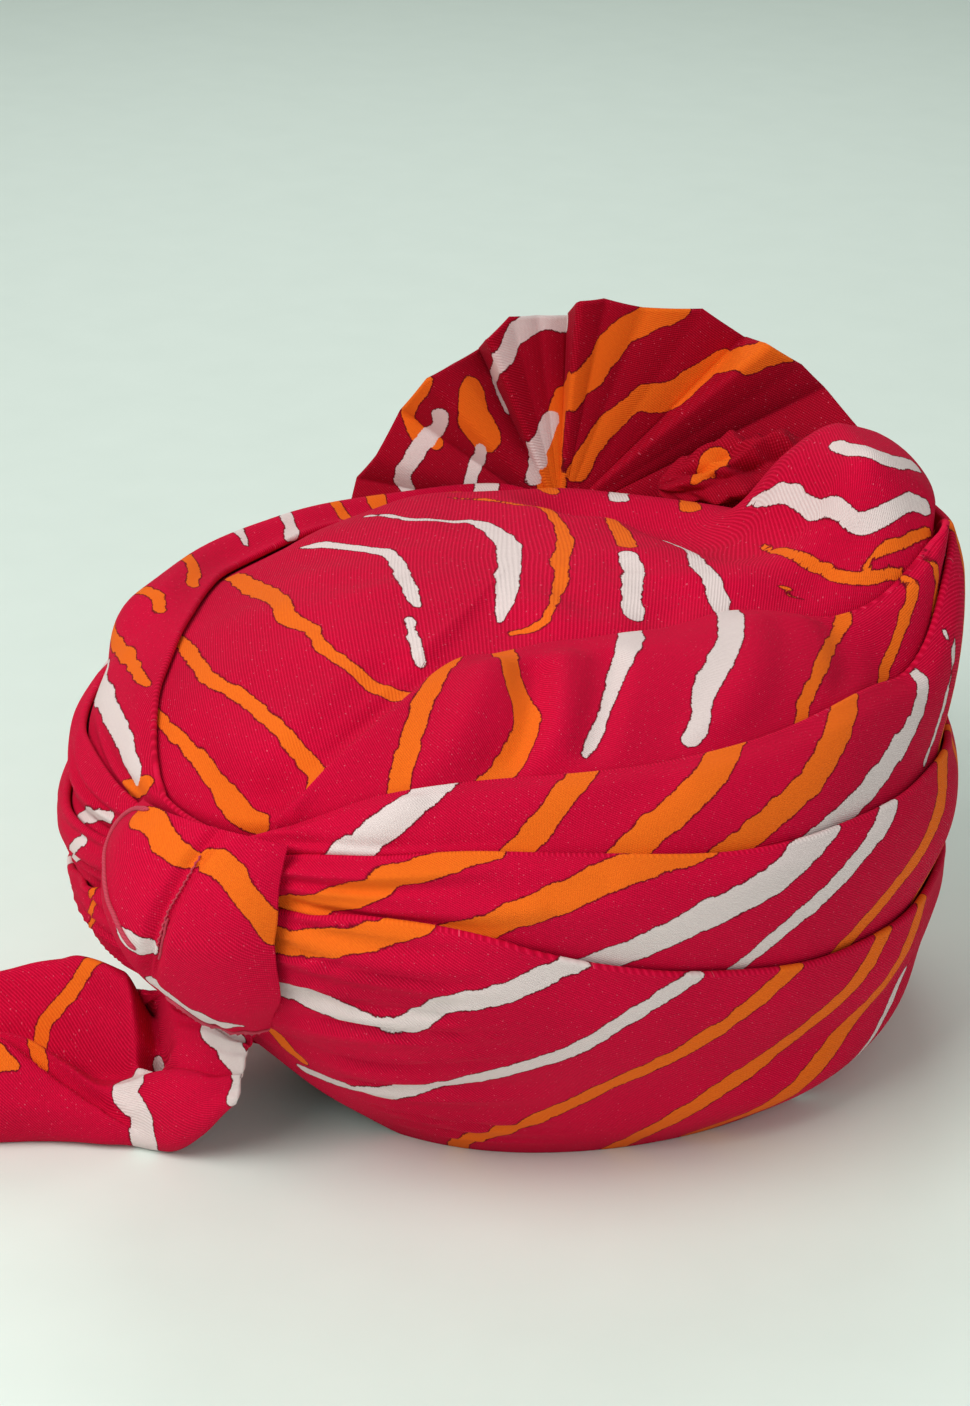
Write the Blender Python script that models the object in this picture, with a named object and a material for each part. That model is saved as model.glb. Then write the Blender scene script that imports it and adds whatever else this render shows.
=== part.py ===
"""A tied turban of printed cotton, resting on its rim. Metres, +Z up.

The origin is the middle of the head opening, on the surface that the turban stands on. The knot and the tail
are at the back, towards -Y, the fan stands on the front left, and +X is the wearer's right.
"""

import math

import bmesh
import bpy
from mathutils import Vector

# The head that the turban fits, and the body that is wound round it
HEAD_LENGTH = 0.196
HEAD_WIDTH = 0.160
GIRTH_LENGTH = 0.316
GIRTH_WIDTH = 0.272
GIRTH_HEIGHT = 0.105
CROWN_HEIGHT = 0.172
BACK_OVERHANG = 0.028
LEFT_OVERHANG = 0.006
CROWN_SQUARENESS = 2.3

# The folded cloth, and how far each wrap stands off the one inside it
CLOTH = 0.0018
SEAT_GAP = 0.0004
PLEAT_LIFT = 0.0026
HEM_STAGGER = 0.0012

# The high roll at the front right: where it starts and ends round the head, and how far up the body
ROLL_RISE = 0.043
ROLL_SWELL = 0.008
ROLL_FROM = 120
ROLL_TO = 184
ROLL_EASE = 25
ROLL_LOW = (0.38, 0.56)
ROLL_HIGH = (0.69, 0.85)

# The knot that cinches the wraps at the back
KNOT_BEARING = 6
KNOT_SPREAD = 29
KNOT_BULGE = 0.011
KNOT_CINCH = 0.006
KNOT_CLOTH = 0.0022

# The pleated fan, and the gathered foot in front of it
FAN_RADIUS = 0.088
FAN_FOOT_RADIUS = 0.014
FAN_PLEAT_DEPTH = 0.0065
FAN_LEAN = 4
FAN_FACING = 46
FAN_BEARING = 229
FAN_REACH = 0.124
FAN_FOOT_HEIGHT = 0.132
FOOT_LENGTH = 0.062
FOOT_HEIGHT = 0.026
FOOT_RIGHT = 0.034
FOOT_FORWARD = 0.023
FOOT_LIFT = 0.018
FOOT_RISE = 0.008
FOOT_RIDGES = 5

# The tail that falls from the knot and lies along the surface, to the side that bearing TAIL_HEADING points
TAIL_LENGTH = 0.130
TAIL_START = 0.101
TAIL_HEADING = 316
TAIL_HEIGHT = 0.055
TAIL_DEPTH = 0.100
TAIL_CLOTH = 0.0012

# How the rim lifts towards the knot
HEM_LIFT = 0.18
HEM_LIFT_BEARING = -6
HEM_LIFT_SPREAD = 20

GIRTH_SHARE = 0.38
RIM_SHARE = 0.10

# Top edge of each wrap, as a share of the way from the rim to the crown's top, at these bearings from the knot
BEARINGS = (0, 12, 18, 24, 32, 45, 60, 80, 100, 115, 130, 150, 175, 200, 230, 262, 285, 300, 322, 340, 352)
WRAP_EDGES = {
    "top_wrap": (
        0.53, 0.51, 0.54, 0.68, 0.81, 0.84, 0.85, 0.84, 0.82, 0.78, 0.63, 0.50, 0.49, 0.52, 0.60, 0.64, 0.66,
        0.69, 0.69, 0.64, 0.58,
    ),
    "upper_wrap": (
        0.49, 0.50, 0.53, 0.57, 0.61, 0.64, 0.64, 0.63, 0.62, 0.60, 0.54, 0.52, 0.52, 0.52, 0.52, 0.51, 0.50,
        0.50, 0.50, 0.51, 0.50,
    ),
    "middle_wrap": (
        0.44, 0.47, 0.49, 0.51, 0.52, 0.53, 0.51, 0.46, 0.43, 0.41, 0.39, 0.38, 0.37, 0.37, 0.38, 0.39, 0.40,
        0.40, 0.40, 0.41, 0.42,
    ),
    "lower_wrap": (
        0.36, 0.39, 0.40, 0.41, 0.42, 0.40, 0.34, 0.28, 0.25, 0.24, 0.23, 0.22, 0.22, 0.22, 0.22, 0.23, 0.24,
        0.26, 0.28, 0.31, 0.34,
    ),
}
LAYERS = ("crown", "top_wrap", "upper_wrap", "middle_wrap", "lower_wrap")
CROWN_EASE = 0.16
LEAST_EASE = 0.05

# How far up the body the rows of every layer lie, each cut off at the layer's own hem and edge
ROW_SHARES = (0.0, 0.07, 0.15, 0.25, 0.38, 0.48, 0.57, 0.65, 0.72, 0.78, 0.83, 0.87, 0.93, 1.0)

# The outline of the knot's band from its lower to its upper edge: how far up the body, and the bearings of its
# left and right edges
KNOT_OUTLINE = (
    # share, left, right
    (0.215, -7.0, 11.5),
    (0.250, -9.0, 14.5),
    (0.290, -10.5, 18.0),
    (0.340, -11.0, 20.5),
    (0.400, -9.5, 22.0),
    (0.460, -7.5, 22.0),
    (0.520, -3.5, 22.0),
)

# The folds of the fan, from its right to its left: the angle, the depth that a fold stands forward, as a share
# of the pleat depth, and its reach, as a share of the fan's radius
FAN_FOLDS = (
    # angle, forward, reach
    (6, -0.1, 1.24),
    (15, 0.3, 1.27),
    (22, -0.3, 1.22),
    (30, 0.2, 1.16),
    (36, 0.0, 1.11),
    (41, 0.9, 1.07),
    (45, -0.7, 1.01),
    (56, -0.1, 0.99),
    (70, 0.3, 0.92),
    (80, 0.6, 0.90),
    (85, 1.1, 0.90),
    (90, -0.6, 0.81),
    (97, -0.1, 0.82),
    (104, 0.5, 0.84),
    (111, 1.0, 0.81),
    (117, -1.2, 0.73),
    (124, 0.7, 0.76),
    (132, 0.5, 0.81),
    (148, 0.4, 0.78),
    (161, -0.6, 0.80),
    (171, 0.3, 0.84),
    (178, -0.1, 0.85),
)

# The tail's folds, from under the knot to its end. Side is a share of the tail's length, back and front are
# shares of its depth, and the heights of its far foot, its underside and its folds are shares of its height.
TAIL_FOLDS = (
    # side, back, front, far, under, crest, valley, lip
    (0.00, 1.19, 1.22, 1.00, 0.62, 0.90, 0.82, 0.76),
    (0.05, 1.13, 1.17, 1.00, 0.53, 0.88, 0.78, 0.70),
    (0.10, 1.07, 1.14, 1.00, 0.42, 0.87, 0.74, 0.64),
    (0.17, 0.99, 1.10, 0.99, 0.19, 0.87, 0.72, 0.56),
    (0.24, 0.87, 1.06, 0.96, 0.04, 0.86, 0.68, 0.52),
    (0.30, 0.76, 1.02, 0.80, 0.00, 0.90, 0.56, 0.46),
    (0.36, 0.64, 0.99, 0.56, 0.00, 0.92, 0.38, 0.36),
    (0.43, 0.51, 0.98, 0.30, 0.00, 0.90, 0.28, 0.30),
    (0.51, 0.40, 0.97, 0.12, 0.00, 0.86, 0.24, 0.42),
    (0.61, 0.31, 0.97, 0.00, 0.00, 0.78, 0.24, 0.60),
    (0.72, 0.26, 0.98, 0.00, 0.00, 0.68, 0.26, 0.66),
    (0.86, 0.24, 0.98, 0.00, 0.00, 0.62, 0.28, 0.60),
    (1.00, 0.24, 0.97, 0.00, 0.00, 0.54, 0.26, 0.54),
)

CLOTH_RED = (0.60, 0.006, 0.045, 1.0)


def eased(x):
    """A soft step from 0 to 1."""
    x = min(max(x, 0.0), 1.0)
    return x * x * (3 - 2 * x)


def step_between(ends, x):
    """A soft step from 0 at the first end to 1 at the second."""
    return eased((x - ends[0]) / (ends[1] - ends[0]))


def mound(x):
    """A soft hump that is 1 at 0 and 0 beyond 1 on either side."""
    return math.cos(min(abs(x), 1.0) * math.pi / 2) ** 2


def apart(bearing, other):
    """The signed angle from one bearing to another, in degrees."""
    return (bearing - other + 180) % 360 - 180


def curve_through(places, values, at):
    """A smooth curve through values set at rising places."""
    last = len(places) - 1
    i = max(j for j in range(last) if j == 0 or places[j] <= at)
    span = places[i + 1] - places[i]
    x = (at - places[i]) / span

    def slope(j):
        low, high = max(j - 1, 0), min(j + 1, last)
        return (values[high] - values[low]) / (places[high] - places[low])

    a, b = values[i], values[i + 1]
    ease = x * x * (3 - 2 * x)
    start, end = x * (1 - x) ** 2, x * x * (x - 1)
    return a + (b - a) * ease + span * (slope(i) * start + slope(i + 1) * end)


def wrap_edge(layer, bearing):
    """How far up the body a layer's top edge lies at a bearing."""
    if layer == 0:
        return 1.0
    row = WRAP_EDGES[LAYERS[layer]]
    places = [BEARINGS[-1] - 360, *BEARINGS, 360, BEARINGS[1] + 360]
    values = [row[-1], *row, row[0], row[1]]
    return curve_through(places, values, bearing % 360)


def stack_depth(share):
    """The step between neighbouring layers: tight at the rim, lifted where the pleats show."""
    return CLOTH + SEAT_GAP + PLEAT_LIFT * eased(share / RIM_SHARE)


RIM_STACK = (len(LAYERS) - 1) * (CLOTH + SEAT_GAP) + CLOTH


def body_point(bearing, share):
    """A point on the outermost form, from the rim at share 0 to the crown's top at share 1."""
    phi = math.radians(bearing)
    rim = Vector((HEAD_WIDTH / 2 + RIM_STACK, HEAD_LENGTH / 2 + RIM_STACK))
    girth = Vector((GIRTH_WIDTH / 2, GIRTH_LENGTH / 2))
    rise = min(share / GIRTH_SHARE, 1.0)
    if share < GIRTH_SHARE:
        reach = rim.lerp(girth, math.sin(rise * math.pi / 2))
        z = GIRTH_HEIGHT * rise
    else:
        turn = (share - GIRTH_SHARE) / (1 - GIRTH_SHARE) * math.pi / 2
        power = 2 / CROWN_SQUARENESS
        reach = girth * max(math.cos(turn), 0.0) ** power
        z = GIRTH_HEIGHT + (CROWN_HEIGHT - GIRTH_HEIGHT) * math.sin(turn) ** power
    cinch = KNOT_CINCH * mound(apart(bearing, KNOT_BEARING) / KNOT_SPREAD) * mound((share - 0.3) / 0.35)
    lift = eased((bearing % 360 - ROLL_FROM) / ROLL_EASE) * eased((ROLL_TO - bearing % 360) / ROLL_EASE)
    lift *= step_between(ROLL_LOW, share) * (1 - step_between(ROLL_HIGH, share))
    reach = reach + Vector((1, 1)) * (ROLL_SWELL * lift - cinch)
    return Vector((
        -LEFT_OVERHANG * rise + reach.x * math.sin(phi),
        -BACK_OVERHANG * rise - reach.y * math.cos(phi),
        z + ROLL_RISE * lift,
    ))


def body_normal(bearing, share):
    """The way that the outermost form faces at a point."""
    low = min(max(share - 0.01, 0.0), 0.965)
    high = min(share + 0.01, 0.985)
    around = body_point(bearing + 1, share) - body_point(bearing - 1, share)
    upward = body_point(bearing, high) - body_point(bearing, low)
    facing = around.cross(upward)
    if share > 0.985 or facing.length < 1e-12:
        return Vector((0, 0, 1))
    return facing.normalized()


def tucked(layer, bearing, share):
    """How deep a layer lies below the outermost form: under each outer wrap, and rising to its own edge."""
    depth = 0.0
    for outer in range(layer + 1, len(LAYERS)):
        over = wrap_edge(outer, bearing)
        ease = max(wrap_edge(outer - 1, bearing) - over, LEAST_EASE)
        if outer == 1:
            ease = min(1 - over, CROWN_EASE)
        depth += stack_depth(share) * (1 - eased((share - over) / ease))
    return depth


def layer_point(layer, bearing, share, below=0.0, sideways=False):
    """A point of a layer's outer face, or `below` it. `sideways` keeps it level, for a flat hem."""
    facing = body_normal(bearing, share)
    point = body_point(bearing, share) - facing * tucked(layer, bearing, share)
    if sideways:
        facing = Vector((facing.x, facing.y, 0)).normalized()
    return point - facing * below


def hem_share(layer, bearing):
    """Where a layer starts: the outermost at the surface, and each inner one a little higher."""
    stagger = HEM_STAGGER * (len(LAYERS) - 1 - layer) / GIRTH_HEIGHT * GIRTH_SHARE
    return stagger + HEM_LIFT * mound(apart(bearing, HEM_LIFT_BEARING) / HEM_LIFT_SPREAD)


def new_piece(name, bm):
    mesh = bpy.data.meshes.new(name)
    bm.to_mesh(mesh)
    bm.free()
    mesh.shade_smooth()
    made = bpy.data.objects.new(name, mesh)
    bpy.context.scene.collection.objects.link(made)
    return made


def mapped_grid(columns, rows, place):
    """A grid of columns by rows, with each corner put at place(column, row)."""
    bm = bmesh.new()
    bmesh.ops.create_grid(bm, x_segments=columns, y_segments=rows, size=0.5)
    for vert in bm.verts:
        vert.co = place(round((vert.co.x + 0.5) * columns), round((vert.co.y + 0.5) * rows))
    return bm


def ring_body(name, columns, rows, place):
    """A closed body: a grid whose columns go round the head and whose rows go round the wall."""
    bm = mapped_grid(columns, rows, lambda column, row: place(column % columns, row % rows))
    flat = [face for face in bm.faces if face.calc_area() < 1e-11]
    bmesh.ops.delete(bm, geom=flat, context="FACES")
    bmesh.ops.remove_doubles(bm, verts=bm.verts, dist=1e-6)
    bmesh.ops.recalc_face_normals(bm, faces=bm.faces)
    return new_piece(name, bm)


def sheet_body(name, columns, rows, place, thickness):
    """A sheet of cloth, thickened away from the side that it faces."""
    made = new_piece(name, mapped_grid(columns, rows, place))
    solid = made.modifiers.new("cloth", "SOLIDIFY")
    solid.thickness = thickness
    solid.offset = -1
    return made


def cloth_material():
    material = bpy.data.materials.new("printed_cotton")
    material.use_nodes = True
    shader = material.node_tree.nodes["Principled BSDF"]
    shader.inputs["Base Color"].default_value = CLOTH_RED
    shader.inputs["Roughness"].default_value = 0.85
    shader.inputs["Metallic"].default_value = 0.0
    return material


def ring_bearings():
    """Bearings of the columns of every wrap and the crown: close together near the knot, wider elsewhere."""
    near = [-12 + 4 * i for i in range(13)]
    far = [36 + 8 * i for i in range(1, 39)]
    return near + far


def make_layer(layer):
    """One wound layer: a closed wall that flares from the rim to its folded top edge, or closes as the crown."""
    bearings = ring_bearings()
    last = len(ROW_SHARES) - 1
    fold_rows = 1 if layer else 0

    def place(column, row):
        bearing = bearings[column]
        hem, edge = hem_share(layer, bearing), wrap_edge(layer, bearing)
        if last < row <= last + fold_rows:
            return layer_point(layer, bearing, edge + CLOTH / GIRTH_LENGTH, CLOTH / 2)
        inside = row > last
        step = (2 * last + 1 + fold_rows - row) if inside else row
        share = min(max(ROW_SHARES[step], hem), edge)
        return layer_point(layer, bearing, share, CLOTH if inside else 0.0, sideways=share <= hem)

    return ring_body(LAYERS[layer], len(bearings), 2 * last + 2 + fold_rows, place)


def make_knot(columns=12, rows=10):
    """The band of cloth that bulges over the cinched wraps at the back."""
    shares, lefts, rights = zip(*KNOT_OUTLINE)
    ups = [i / (len(shares) - 1) for i in range(len(shares))]

    def place(column, row):
        u, v = 2 * column / columns - 1, row / rows
        left, right = curve_through(ups, lefts, v), curve_through(ups, rights, v)
        bearing = left + (right - left) * (u + 1) / 2
        share = curve_through(ups, shares, v)
        full = (1 - abs(u) ** 2.6) * (0.5 + 0.5 * math.sin(math.pi * (0.12 + 0.76 * v)))
        stand = SEAT_GAP + KNOT_CLOTH + (KNOT_BULGE + KNOT_CINCH) * full
        return body_point(bearing, share) + body_normal(bearing, share) * stand

    return sheet_body("knot", columns, rows, place, KNOT_CLOTH)


def tail_section(back, front, far, under, crest, valley, lip):
    """The tail's line across, from its far foot over both folds to the edge tucked under its near side."""
    wide = front - back
    return (
        (back, far),
        (back + 0.07 * wide, far * 0.6 + crest * 0.4),
        (back + 0.17 * wide, far * 0.25 + crest * 0.75),
        (back + 0.32 * wide, crest),
        (back + 0.46 * wide, crest * 0.6 + valley * 0.4),
        (back + 0.60 * wide, valley),
        (back + 0.76 * wide, valley * 0.15 + lip * 0.85),
        (back + 0.88 * wide, lip),
        (front, under + 0.62 * (lip - under)),
        (front + 0.01, under + 0.22 * (lip - under)),
        (front - 0.04, under),
        (front - 0.09, under),
    )


def make_tail(columns=20, rows=22):
    """The tail: a folded sheet that falls from the knot and lies on the surface."""
    phi = math.radians(TAIL_HEADING)
    along = Vector((math.sin(phi), -math.cos(phi), 0))
    out = Vector((-along.y, along.x, 0))
    shares = [row[0] for row in TAIL_FOLDS]

    def place(column, row):
        u = column / columns
        line = tail_section(*(curve_through(shares, [fold[k] for fold in TAIL_FOLDS], u) for k in range(1, 8)))
        places = [i / (len(line) - 1) for i in range(len(line))]
        depth = curve_through(places, [point[0] for point in line], row / rows)
        height = max(curve_through(places, [point[1] for point in line], row / rows), 0.0)
        spot = along * (TAIL_START + TAIL_LENGTH * u) + out * TAIL_DEPTH * depth
        return spot + Vector((0, 0, TAIL_HEIGHT * height))

    return sheet_body("tail", columns, rows, place, TAIL_CLOTH)


def fan_axes():
    """The fan's right, its upward lean and the way that it faces."""
    phi, lean = math.radians(FAN_FACING), math.radians(FAN_LEAN)
    level = Vector((math.sin(phi), -math.cos(phi), 0))
    right = Vector((math.cos(phi), math.sin(phi), 0))
    up = Vector((0, 0, math.cos(lean))) - level * math.sin(lean)
    return right, up, right.cross(up)


def fan_foot_middle():
    phi = math.radians(FAN_BEARING)
    return Vector((FAN_REACH * math.sin(phi), -FAN_REACH * math.cos(phi), FAN_FOOT_HEIGHT))


def make_fan(rows=4):
    """The fan: pleats that open from the foot, each fold with its own reach."""
    right, up, facing = fan_axes()
    middle = fan_foot_middle()
    folds = []
    for (a0, f0, r0), (a1, f1, r1) in zip(FAN_FOLDS, FAN_FOLDS[1:]):
        folds += [(a0, f0, r0), ((a0 + a1) / 2, (f0 + f1) / 2, (r0 + r1) / 2)]
    folds.append(FAN_FOLDS[-1])

    def place(column, row):
        angle, forward, reach = folds[column]
        v = row / rows
        radius = FAN_FOOT_RADIUS + (FAN_RADIUS * reach - FAN_FOOT_RADIUS) * v
        turn = math.radians(angle)
        spot = middle + (right * math.cos(turn) + up * math.sin(turn)) * radius
        return spot + facing * FAN_PLEAT_DEPTH * forward * v ** 1.4

    return sheet_body("fan", len(folds) - 1, rows, place, CLOTH)


def make_foot(columns=15, rows=8):
    """The gathered roll of cloth that the fan's pleats are sewn to."""
    right, up, facing = fan_axes()
    start = fan_foot_middle() + right * FOOT_RIGHT + facing * FOOT_FORWARD + up * FOOT_LIFT

    def place(column, row):
        turn, v = 2 * math.pi * column / columns, row / rows
        ridge = 1 + 0.12 * math.cos(FOOT_RIDGES * turn + 2.5 * v)
        radius = FOOT_HEIGHT / 2 * math.sqrt(math.sin(math.pi * v)) * ridge * (0.8 + 0.3 * v)
        middle = start + right * FOOT_LENGTH * v + up * FOOT_RISE * v
        return middle + (facing * math.cos(turn) + up * math.sin(turn)) * radius

    bm = mapped_grid(columns, rows, lambda column, row: place(column % columns, row))
    bmesh.ops.remove_doubles(bm, verts=bm.verts, dist=1e-6)
    bmesh.ops.recalc_face_normals(bm, faces=bm.faces)
    return new_piece("fan_foot", bm)


def main():
    for old in list(bpy.data.objects):
        bpy.data.objects.remove(old)
    cotton = cloth_material()
    made = [make_layer(layer) for layer in range(len(LAYERS))]
    made += [make_knot(), make_tail(), make_fan(), make_foot()]
    for piece in made:
        piece.data.materials.append(cotton)


main()
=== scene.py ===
# %% [markdown]
# # A tied turban of printed cotton
# The turban is one long strip of crimson cotton, wound round a head-sized hollow, cinched by a knot at the
# back and finished with a stiff pleated fan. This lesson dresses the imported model: each solid is replaced
# by a finer cloth piece that follows the same form, with its folds, seams, threads and the wave-dyed print.

import math

import bmesh
import bpy
import numpy as np
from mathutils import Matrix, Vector


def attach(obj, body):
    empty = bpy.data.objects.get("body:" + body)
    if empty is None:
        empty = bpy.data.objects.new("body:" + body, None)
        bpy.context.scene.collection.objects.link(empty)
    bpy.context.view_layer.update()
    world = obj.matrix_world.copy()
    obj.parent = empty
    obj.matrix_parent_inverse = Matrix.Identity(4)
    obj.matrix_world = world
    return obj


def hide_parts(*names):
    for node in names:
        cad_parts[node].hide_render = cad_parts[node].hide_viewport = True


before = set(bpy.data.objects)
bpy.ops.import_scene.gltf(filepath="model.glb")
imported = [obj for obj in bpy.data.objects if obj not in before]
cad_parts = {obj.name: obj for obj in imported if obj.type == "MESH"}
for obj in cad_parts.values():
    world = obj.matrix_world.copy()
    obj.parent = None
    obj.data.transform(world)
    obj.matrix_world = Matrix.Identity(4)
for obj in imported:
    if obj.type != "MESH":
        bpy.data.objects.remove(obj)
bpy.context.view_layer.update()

# %% [markdown]
# ## The camera
# The photograph looks from behind the wearer's right shoulder, and down. A long lens keeps the shapes
# square. The camera is placed by its angle round the turban, its height angle and its distance from the
# point it aims at.

# %% Place the camera
CAMERA_ROUND = 46
CAMERA_UP = 24
CAMERA_DISTANCE = 1.10
CAMERA_LENS = 84.5
AIM_ASIDE = -0.034
AIM_HEIGHT = 0.113


def toward(bearing, rise=0.0):
    """The direction of a bearing, counted from the back (-Y) towards +X, and of an angle of rise."""
    a, e = math.radians(bearing), math.radians(rise)
    return Vector((math.sin(a) * math.cos(e), -math.cos(a) * math.cos(e), math.sin(e)))


camera_right = toward(CAMERA_ROUND + 90)
aim = camera_right * AIM_ASIDE + Vector((0, 0, AIM_HEIGHT))
camera = bpy.data.objects.new("camera", bpy.data.cameras.new("camera"))
bpy.context.scene.collection.objects.link(camera)
camera.location = aim + toward(CAMERA_ROUND, CAMERA_UP) * CAMERA_DISTANCE
camera.rotation_euler = (aim - camera.location).to_track_quat("-Z", "Y").to_euler()
camera.data.lens = CAMERA_LENS
camera.data.clip_start = 0.01
bpy.context.scene.camera = camera
print("camera at", [round(number, 3) for number in camera.location])

# %% [markdown]
# ## Sizes of the wound body
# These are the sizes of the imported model. A place on the body is given by its bearing, in degrees from the
# back, and its share of the way from the rim, 0, to the top of the crown, 1. The tables give the top edge
# of each wrap.

# %% Name the sizes
HEAD_LENGTH = 0.196
HEAD_WIDTH = 0.160
GIRTH_LENGTH = 0.316
GIRTH_WIDTH = 0.272
GIRTH_HEIGHT = 0.105
CROWN_HEIGHT = 0.172
BACK_OVERHANG = 0.028
LEFT_OVERHANG = 0.006
CROWN_SQUARENESS = 2.3
CLOTH = 0.0018
SEAT_GAP = 0.0004
PLEAT_LIFT = 0.0026
HEM_STAGGER = 0.0012
ROLL_RISE = 0.043
ROLL_SWELL = 0.008
ROLL_FROM = 120
ROLL_TO = 184
ROLL_EASE = 25
ROLL_LOW = (0.38, 0.56)
ROLL_HIGH = (0.69, 0.85)
KNOT_BEARING = 6
KNOT_SPREAD = 29
KNOT_CINCH = 0.006
SAGS = (
    # bearing, spread, share, height, amount
    (-32, 30, 0.24, 0.16, 0.0090),
    (-58, 50, 0.42, 0.17, -0.0035),
    (92, 50, 0.06, 0.09, 0.0090),
)
HEM_LIFT = 0.18
HEM_LIFT_BEARING = -6
HEM_LIFT_SPREAD = 20
GIRTH_SHARE = 0.38
RIM_SHARE = 0.10
CROWN_EASE = 0.16
LEAST_EASE = 0.05
BEARINGS = (0, 12, 18, 24, 32, 45, 60, 80, 100, 115, 130, 150, 175, 200, 230, 262, 285, 300, 322, 340, 352)
WRAP_EDGES = {
    "top_wrap": (
        0.53, 0.51, 0.54, 0.68, 0.81, 0.84, 0.85, 0.84, 0.82, 0.78, 0.63, 0.50, 0.49, 0.52, 0.60, 0.64, 0.66,
        0.69, 0.69, 0.64, 0.58,
    ),
    "upper_wrap": (
        0.49, 0.50, 0.53, 0.57, 0.61, 0.64, 0.64, 0.63, 0.62, 0.60, 0.54, 0.52, 0.52, 0.52, 0.52, 0.51, 0.50,
        0.50, 0.50, 0.51, 0.50,
    ),
    "middle_wrap": (
        0.44, 0.47, 0.49, 0.51, 0.52, 0.53, 0.51, 0.46, 0.43, 0.41, 0.39, 0.38, 0.37, 0.37, 0.38, 0.39, 0.40,
        0.40, 0.40, 0.41, 0.42,
    ),
    "lower_wrap": (
        0.36, 0.39, 0.40, 0.41, 0.42, 0.40, 0.34, 0.28, 0.25, 0.24, 0.23, 0.22, 0.22, 0.22, 0.22, 0.23, 0.24,
        0.26, 0.28, 0.31, 0.34,
    ),
}
LAYERS = ("crown", "top_wrap", "upper_wrap", "middle_wrap", "lower_wrap")
RIM_STACK = (len(LAYERS) - 1) * (CLOTH + SEAT_GAP) + CLOTH
print("layers:", ", ".join(LAYERS))

# %% [markdown]
# ## Soft curves for whole arrays
# A cloth has tens of thousands of points, so every function here takes arrays and works on all points at
# once. A smooth step, a rounded hump and a curve through charted values are all that the forms need.


# %% Define the soft curves
def eased(x):
    """A soft step from 0 to 1."""
    x = np.clip(x, 0, 1)
    return x * x * (3 - 2 * x)


def step_between(ends, x):
    """A soft step from 0 at the first end to 1 at the second."""
    return eased((x - ends[0]) / (ends[1] - ends[0]))


def mound(x):
    """A soft hump that is 1 at 0, and 0 from 1 on."""
    return np.cos(np.clip(np.abs(x), 0, 1) * np.pi / 2) ** 2


def apart(bearing, other):
    """The signed angle from one bearing to another."""
    return (bearing - other + 180) % 360 - 180


def curve_through(places, values, at):
    """A smooth curve through values set at rising places."""
    places = np.array(places, float)
    values = np.array(values, float)
    last = len(places) - 1
    i = np.clip(np.searchsorted(places, at, side="right") - 1, 0, last - 1)
    low = np.maximum(np.arange(last + 1) - 1, 0)
    high = np.minimum(np.arange(last + 1) + 1, last)
    slope = (values[high] - values[low]) / (places[high] - places[low])
    span = places[i + 1] - places[i]
    x = (at - places[i]) / span
    rise = values[i] + (values[i + 1] - values[i]) * x * x * (3 - 2 * x)
    return rise + span * (slope[i] * x * (1 - x) ** 2 + slope[i + 1] * x * x * (x - 1))


def curve_columns(places, rows, at):
    """The columns of a table, each as a smooth curve along the places."""
    return [curve_through(places, column, at) for column in zip(*rows)]


# %% [markdown]
# ## The wound form
# The outermost form flares from the rim to the girth and closes over the crown. Each layer lies below it by
# the cloth that is wound over it, and rises to it at its own top edge. That is what makes every edge stand
# proud of the wrap inside it, as folded cloth does.


# %% Shape the wound form
def wrap_edge(layer, bearing):
    """How far up the body a layer's top edge lies at each bearing."""
    if layer == 0:
        return np.ones_like(bearing, dtype=float)
    row = WRAP_EDGES[LAYERS[layer]]
    places = [BEARINGS[-1] - 360, *BEARINGS, 360, BEARINGS[1] + 360]
    return curve_through(places, [row[-1], *row, row[0], row[1]], bearing % 360)


def stack_depth(share):
    """The step between neighbouring layers: tight at the rim, lifted where the pleats show."""
    return CLOTH + SEAT_GAP + PLEAT_LIFT * eased(share / RIM_SHARE)


def body_point(bearing, share):
    """Points on the outermost form."""
    phi = np.radians(bearing)
    rise = np.minimum(share / GIRTH_SHARE, 1)
    low = share < GIRTH_SHARE
    turn = np.clip((share - GIRTH_SHARE) / (1 - GIRTH_SHARE), 0, 1) * np.pi / 2
    power = 2 / CROWN_SQUARENESS
    shrink = np.maximum(np.cos(turn), 0.0) ** power
    flare = np.sin(np.clip(rise, 0, 1) * np.pi / 2)
    cinch = KNOT_CINCH * mound(apart(bearing, KNOT_BEARING) / KNOT_SPREAD) * mound((share - 0.3) / 0.35)
    around = bearing % 360
    lift = eased((around - ROLL_FROM) / ROLL_EASE) * eased((ROLL_TO - around) / ROLL_EASE)
    lift = lift * step_between(ROLL_LOW, share) * (1 - step_between(ROLL_HIGH, share))
    swell = ROLL_SWELL * lift - cinch
    for middle, spread, level, height, amount in SAGS:
        swell += amount * mound(apart(bearing, middle) / spread) * mound((share - level) / height)
    rim_x = HEAD_WIDTH / 2 + RIM_STACK
    rim_y = HEAD_LENGTH / 2 + RIM_STACK
    reach_x = np.where(low, rim_x + (GIRTH_WIDTH / 2 - rim_x) * flare, GIRTH_WIDTH / 2 * shrink) + swell
    reach_y = np.where(low, rim_y + (GIRTH_LENGTH / 2 - rim_y) * flare, GIRTH_LENGTH / 2 * shrink) + swell
    dome = GIRTH_HEIGHT + (CROWN_HEIGHT - GIRTH_HEIGHT) * np.sin(turn) ** power
    x = -LEFT_OVERHANG * rise + reach_x * np.sin(phi)
    y = -BACK_OVERHANG * rise - reach_y * np.cos(phi)
    z = np.where(low, GIRTH_HEIGHT * rise, dome) + ROLL_RISE * lift
    return np.stack([x, y, z], -1)


TINY = 1e-12
TOP_SHARE = 0.985


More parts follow.
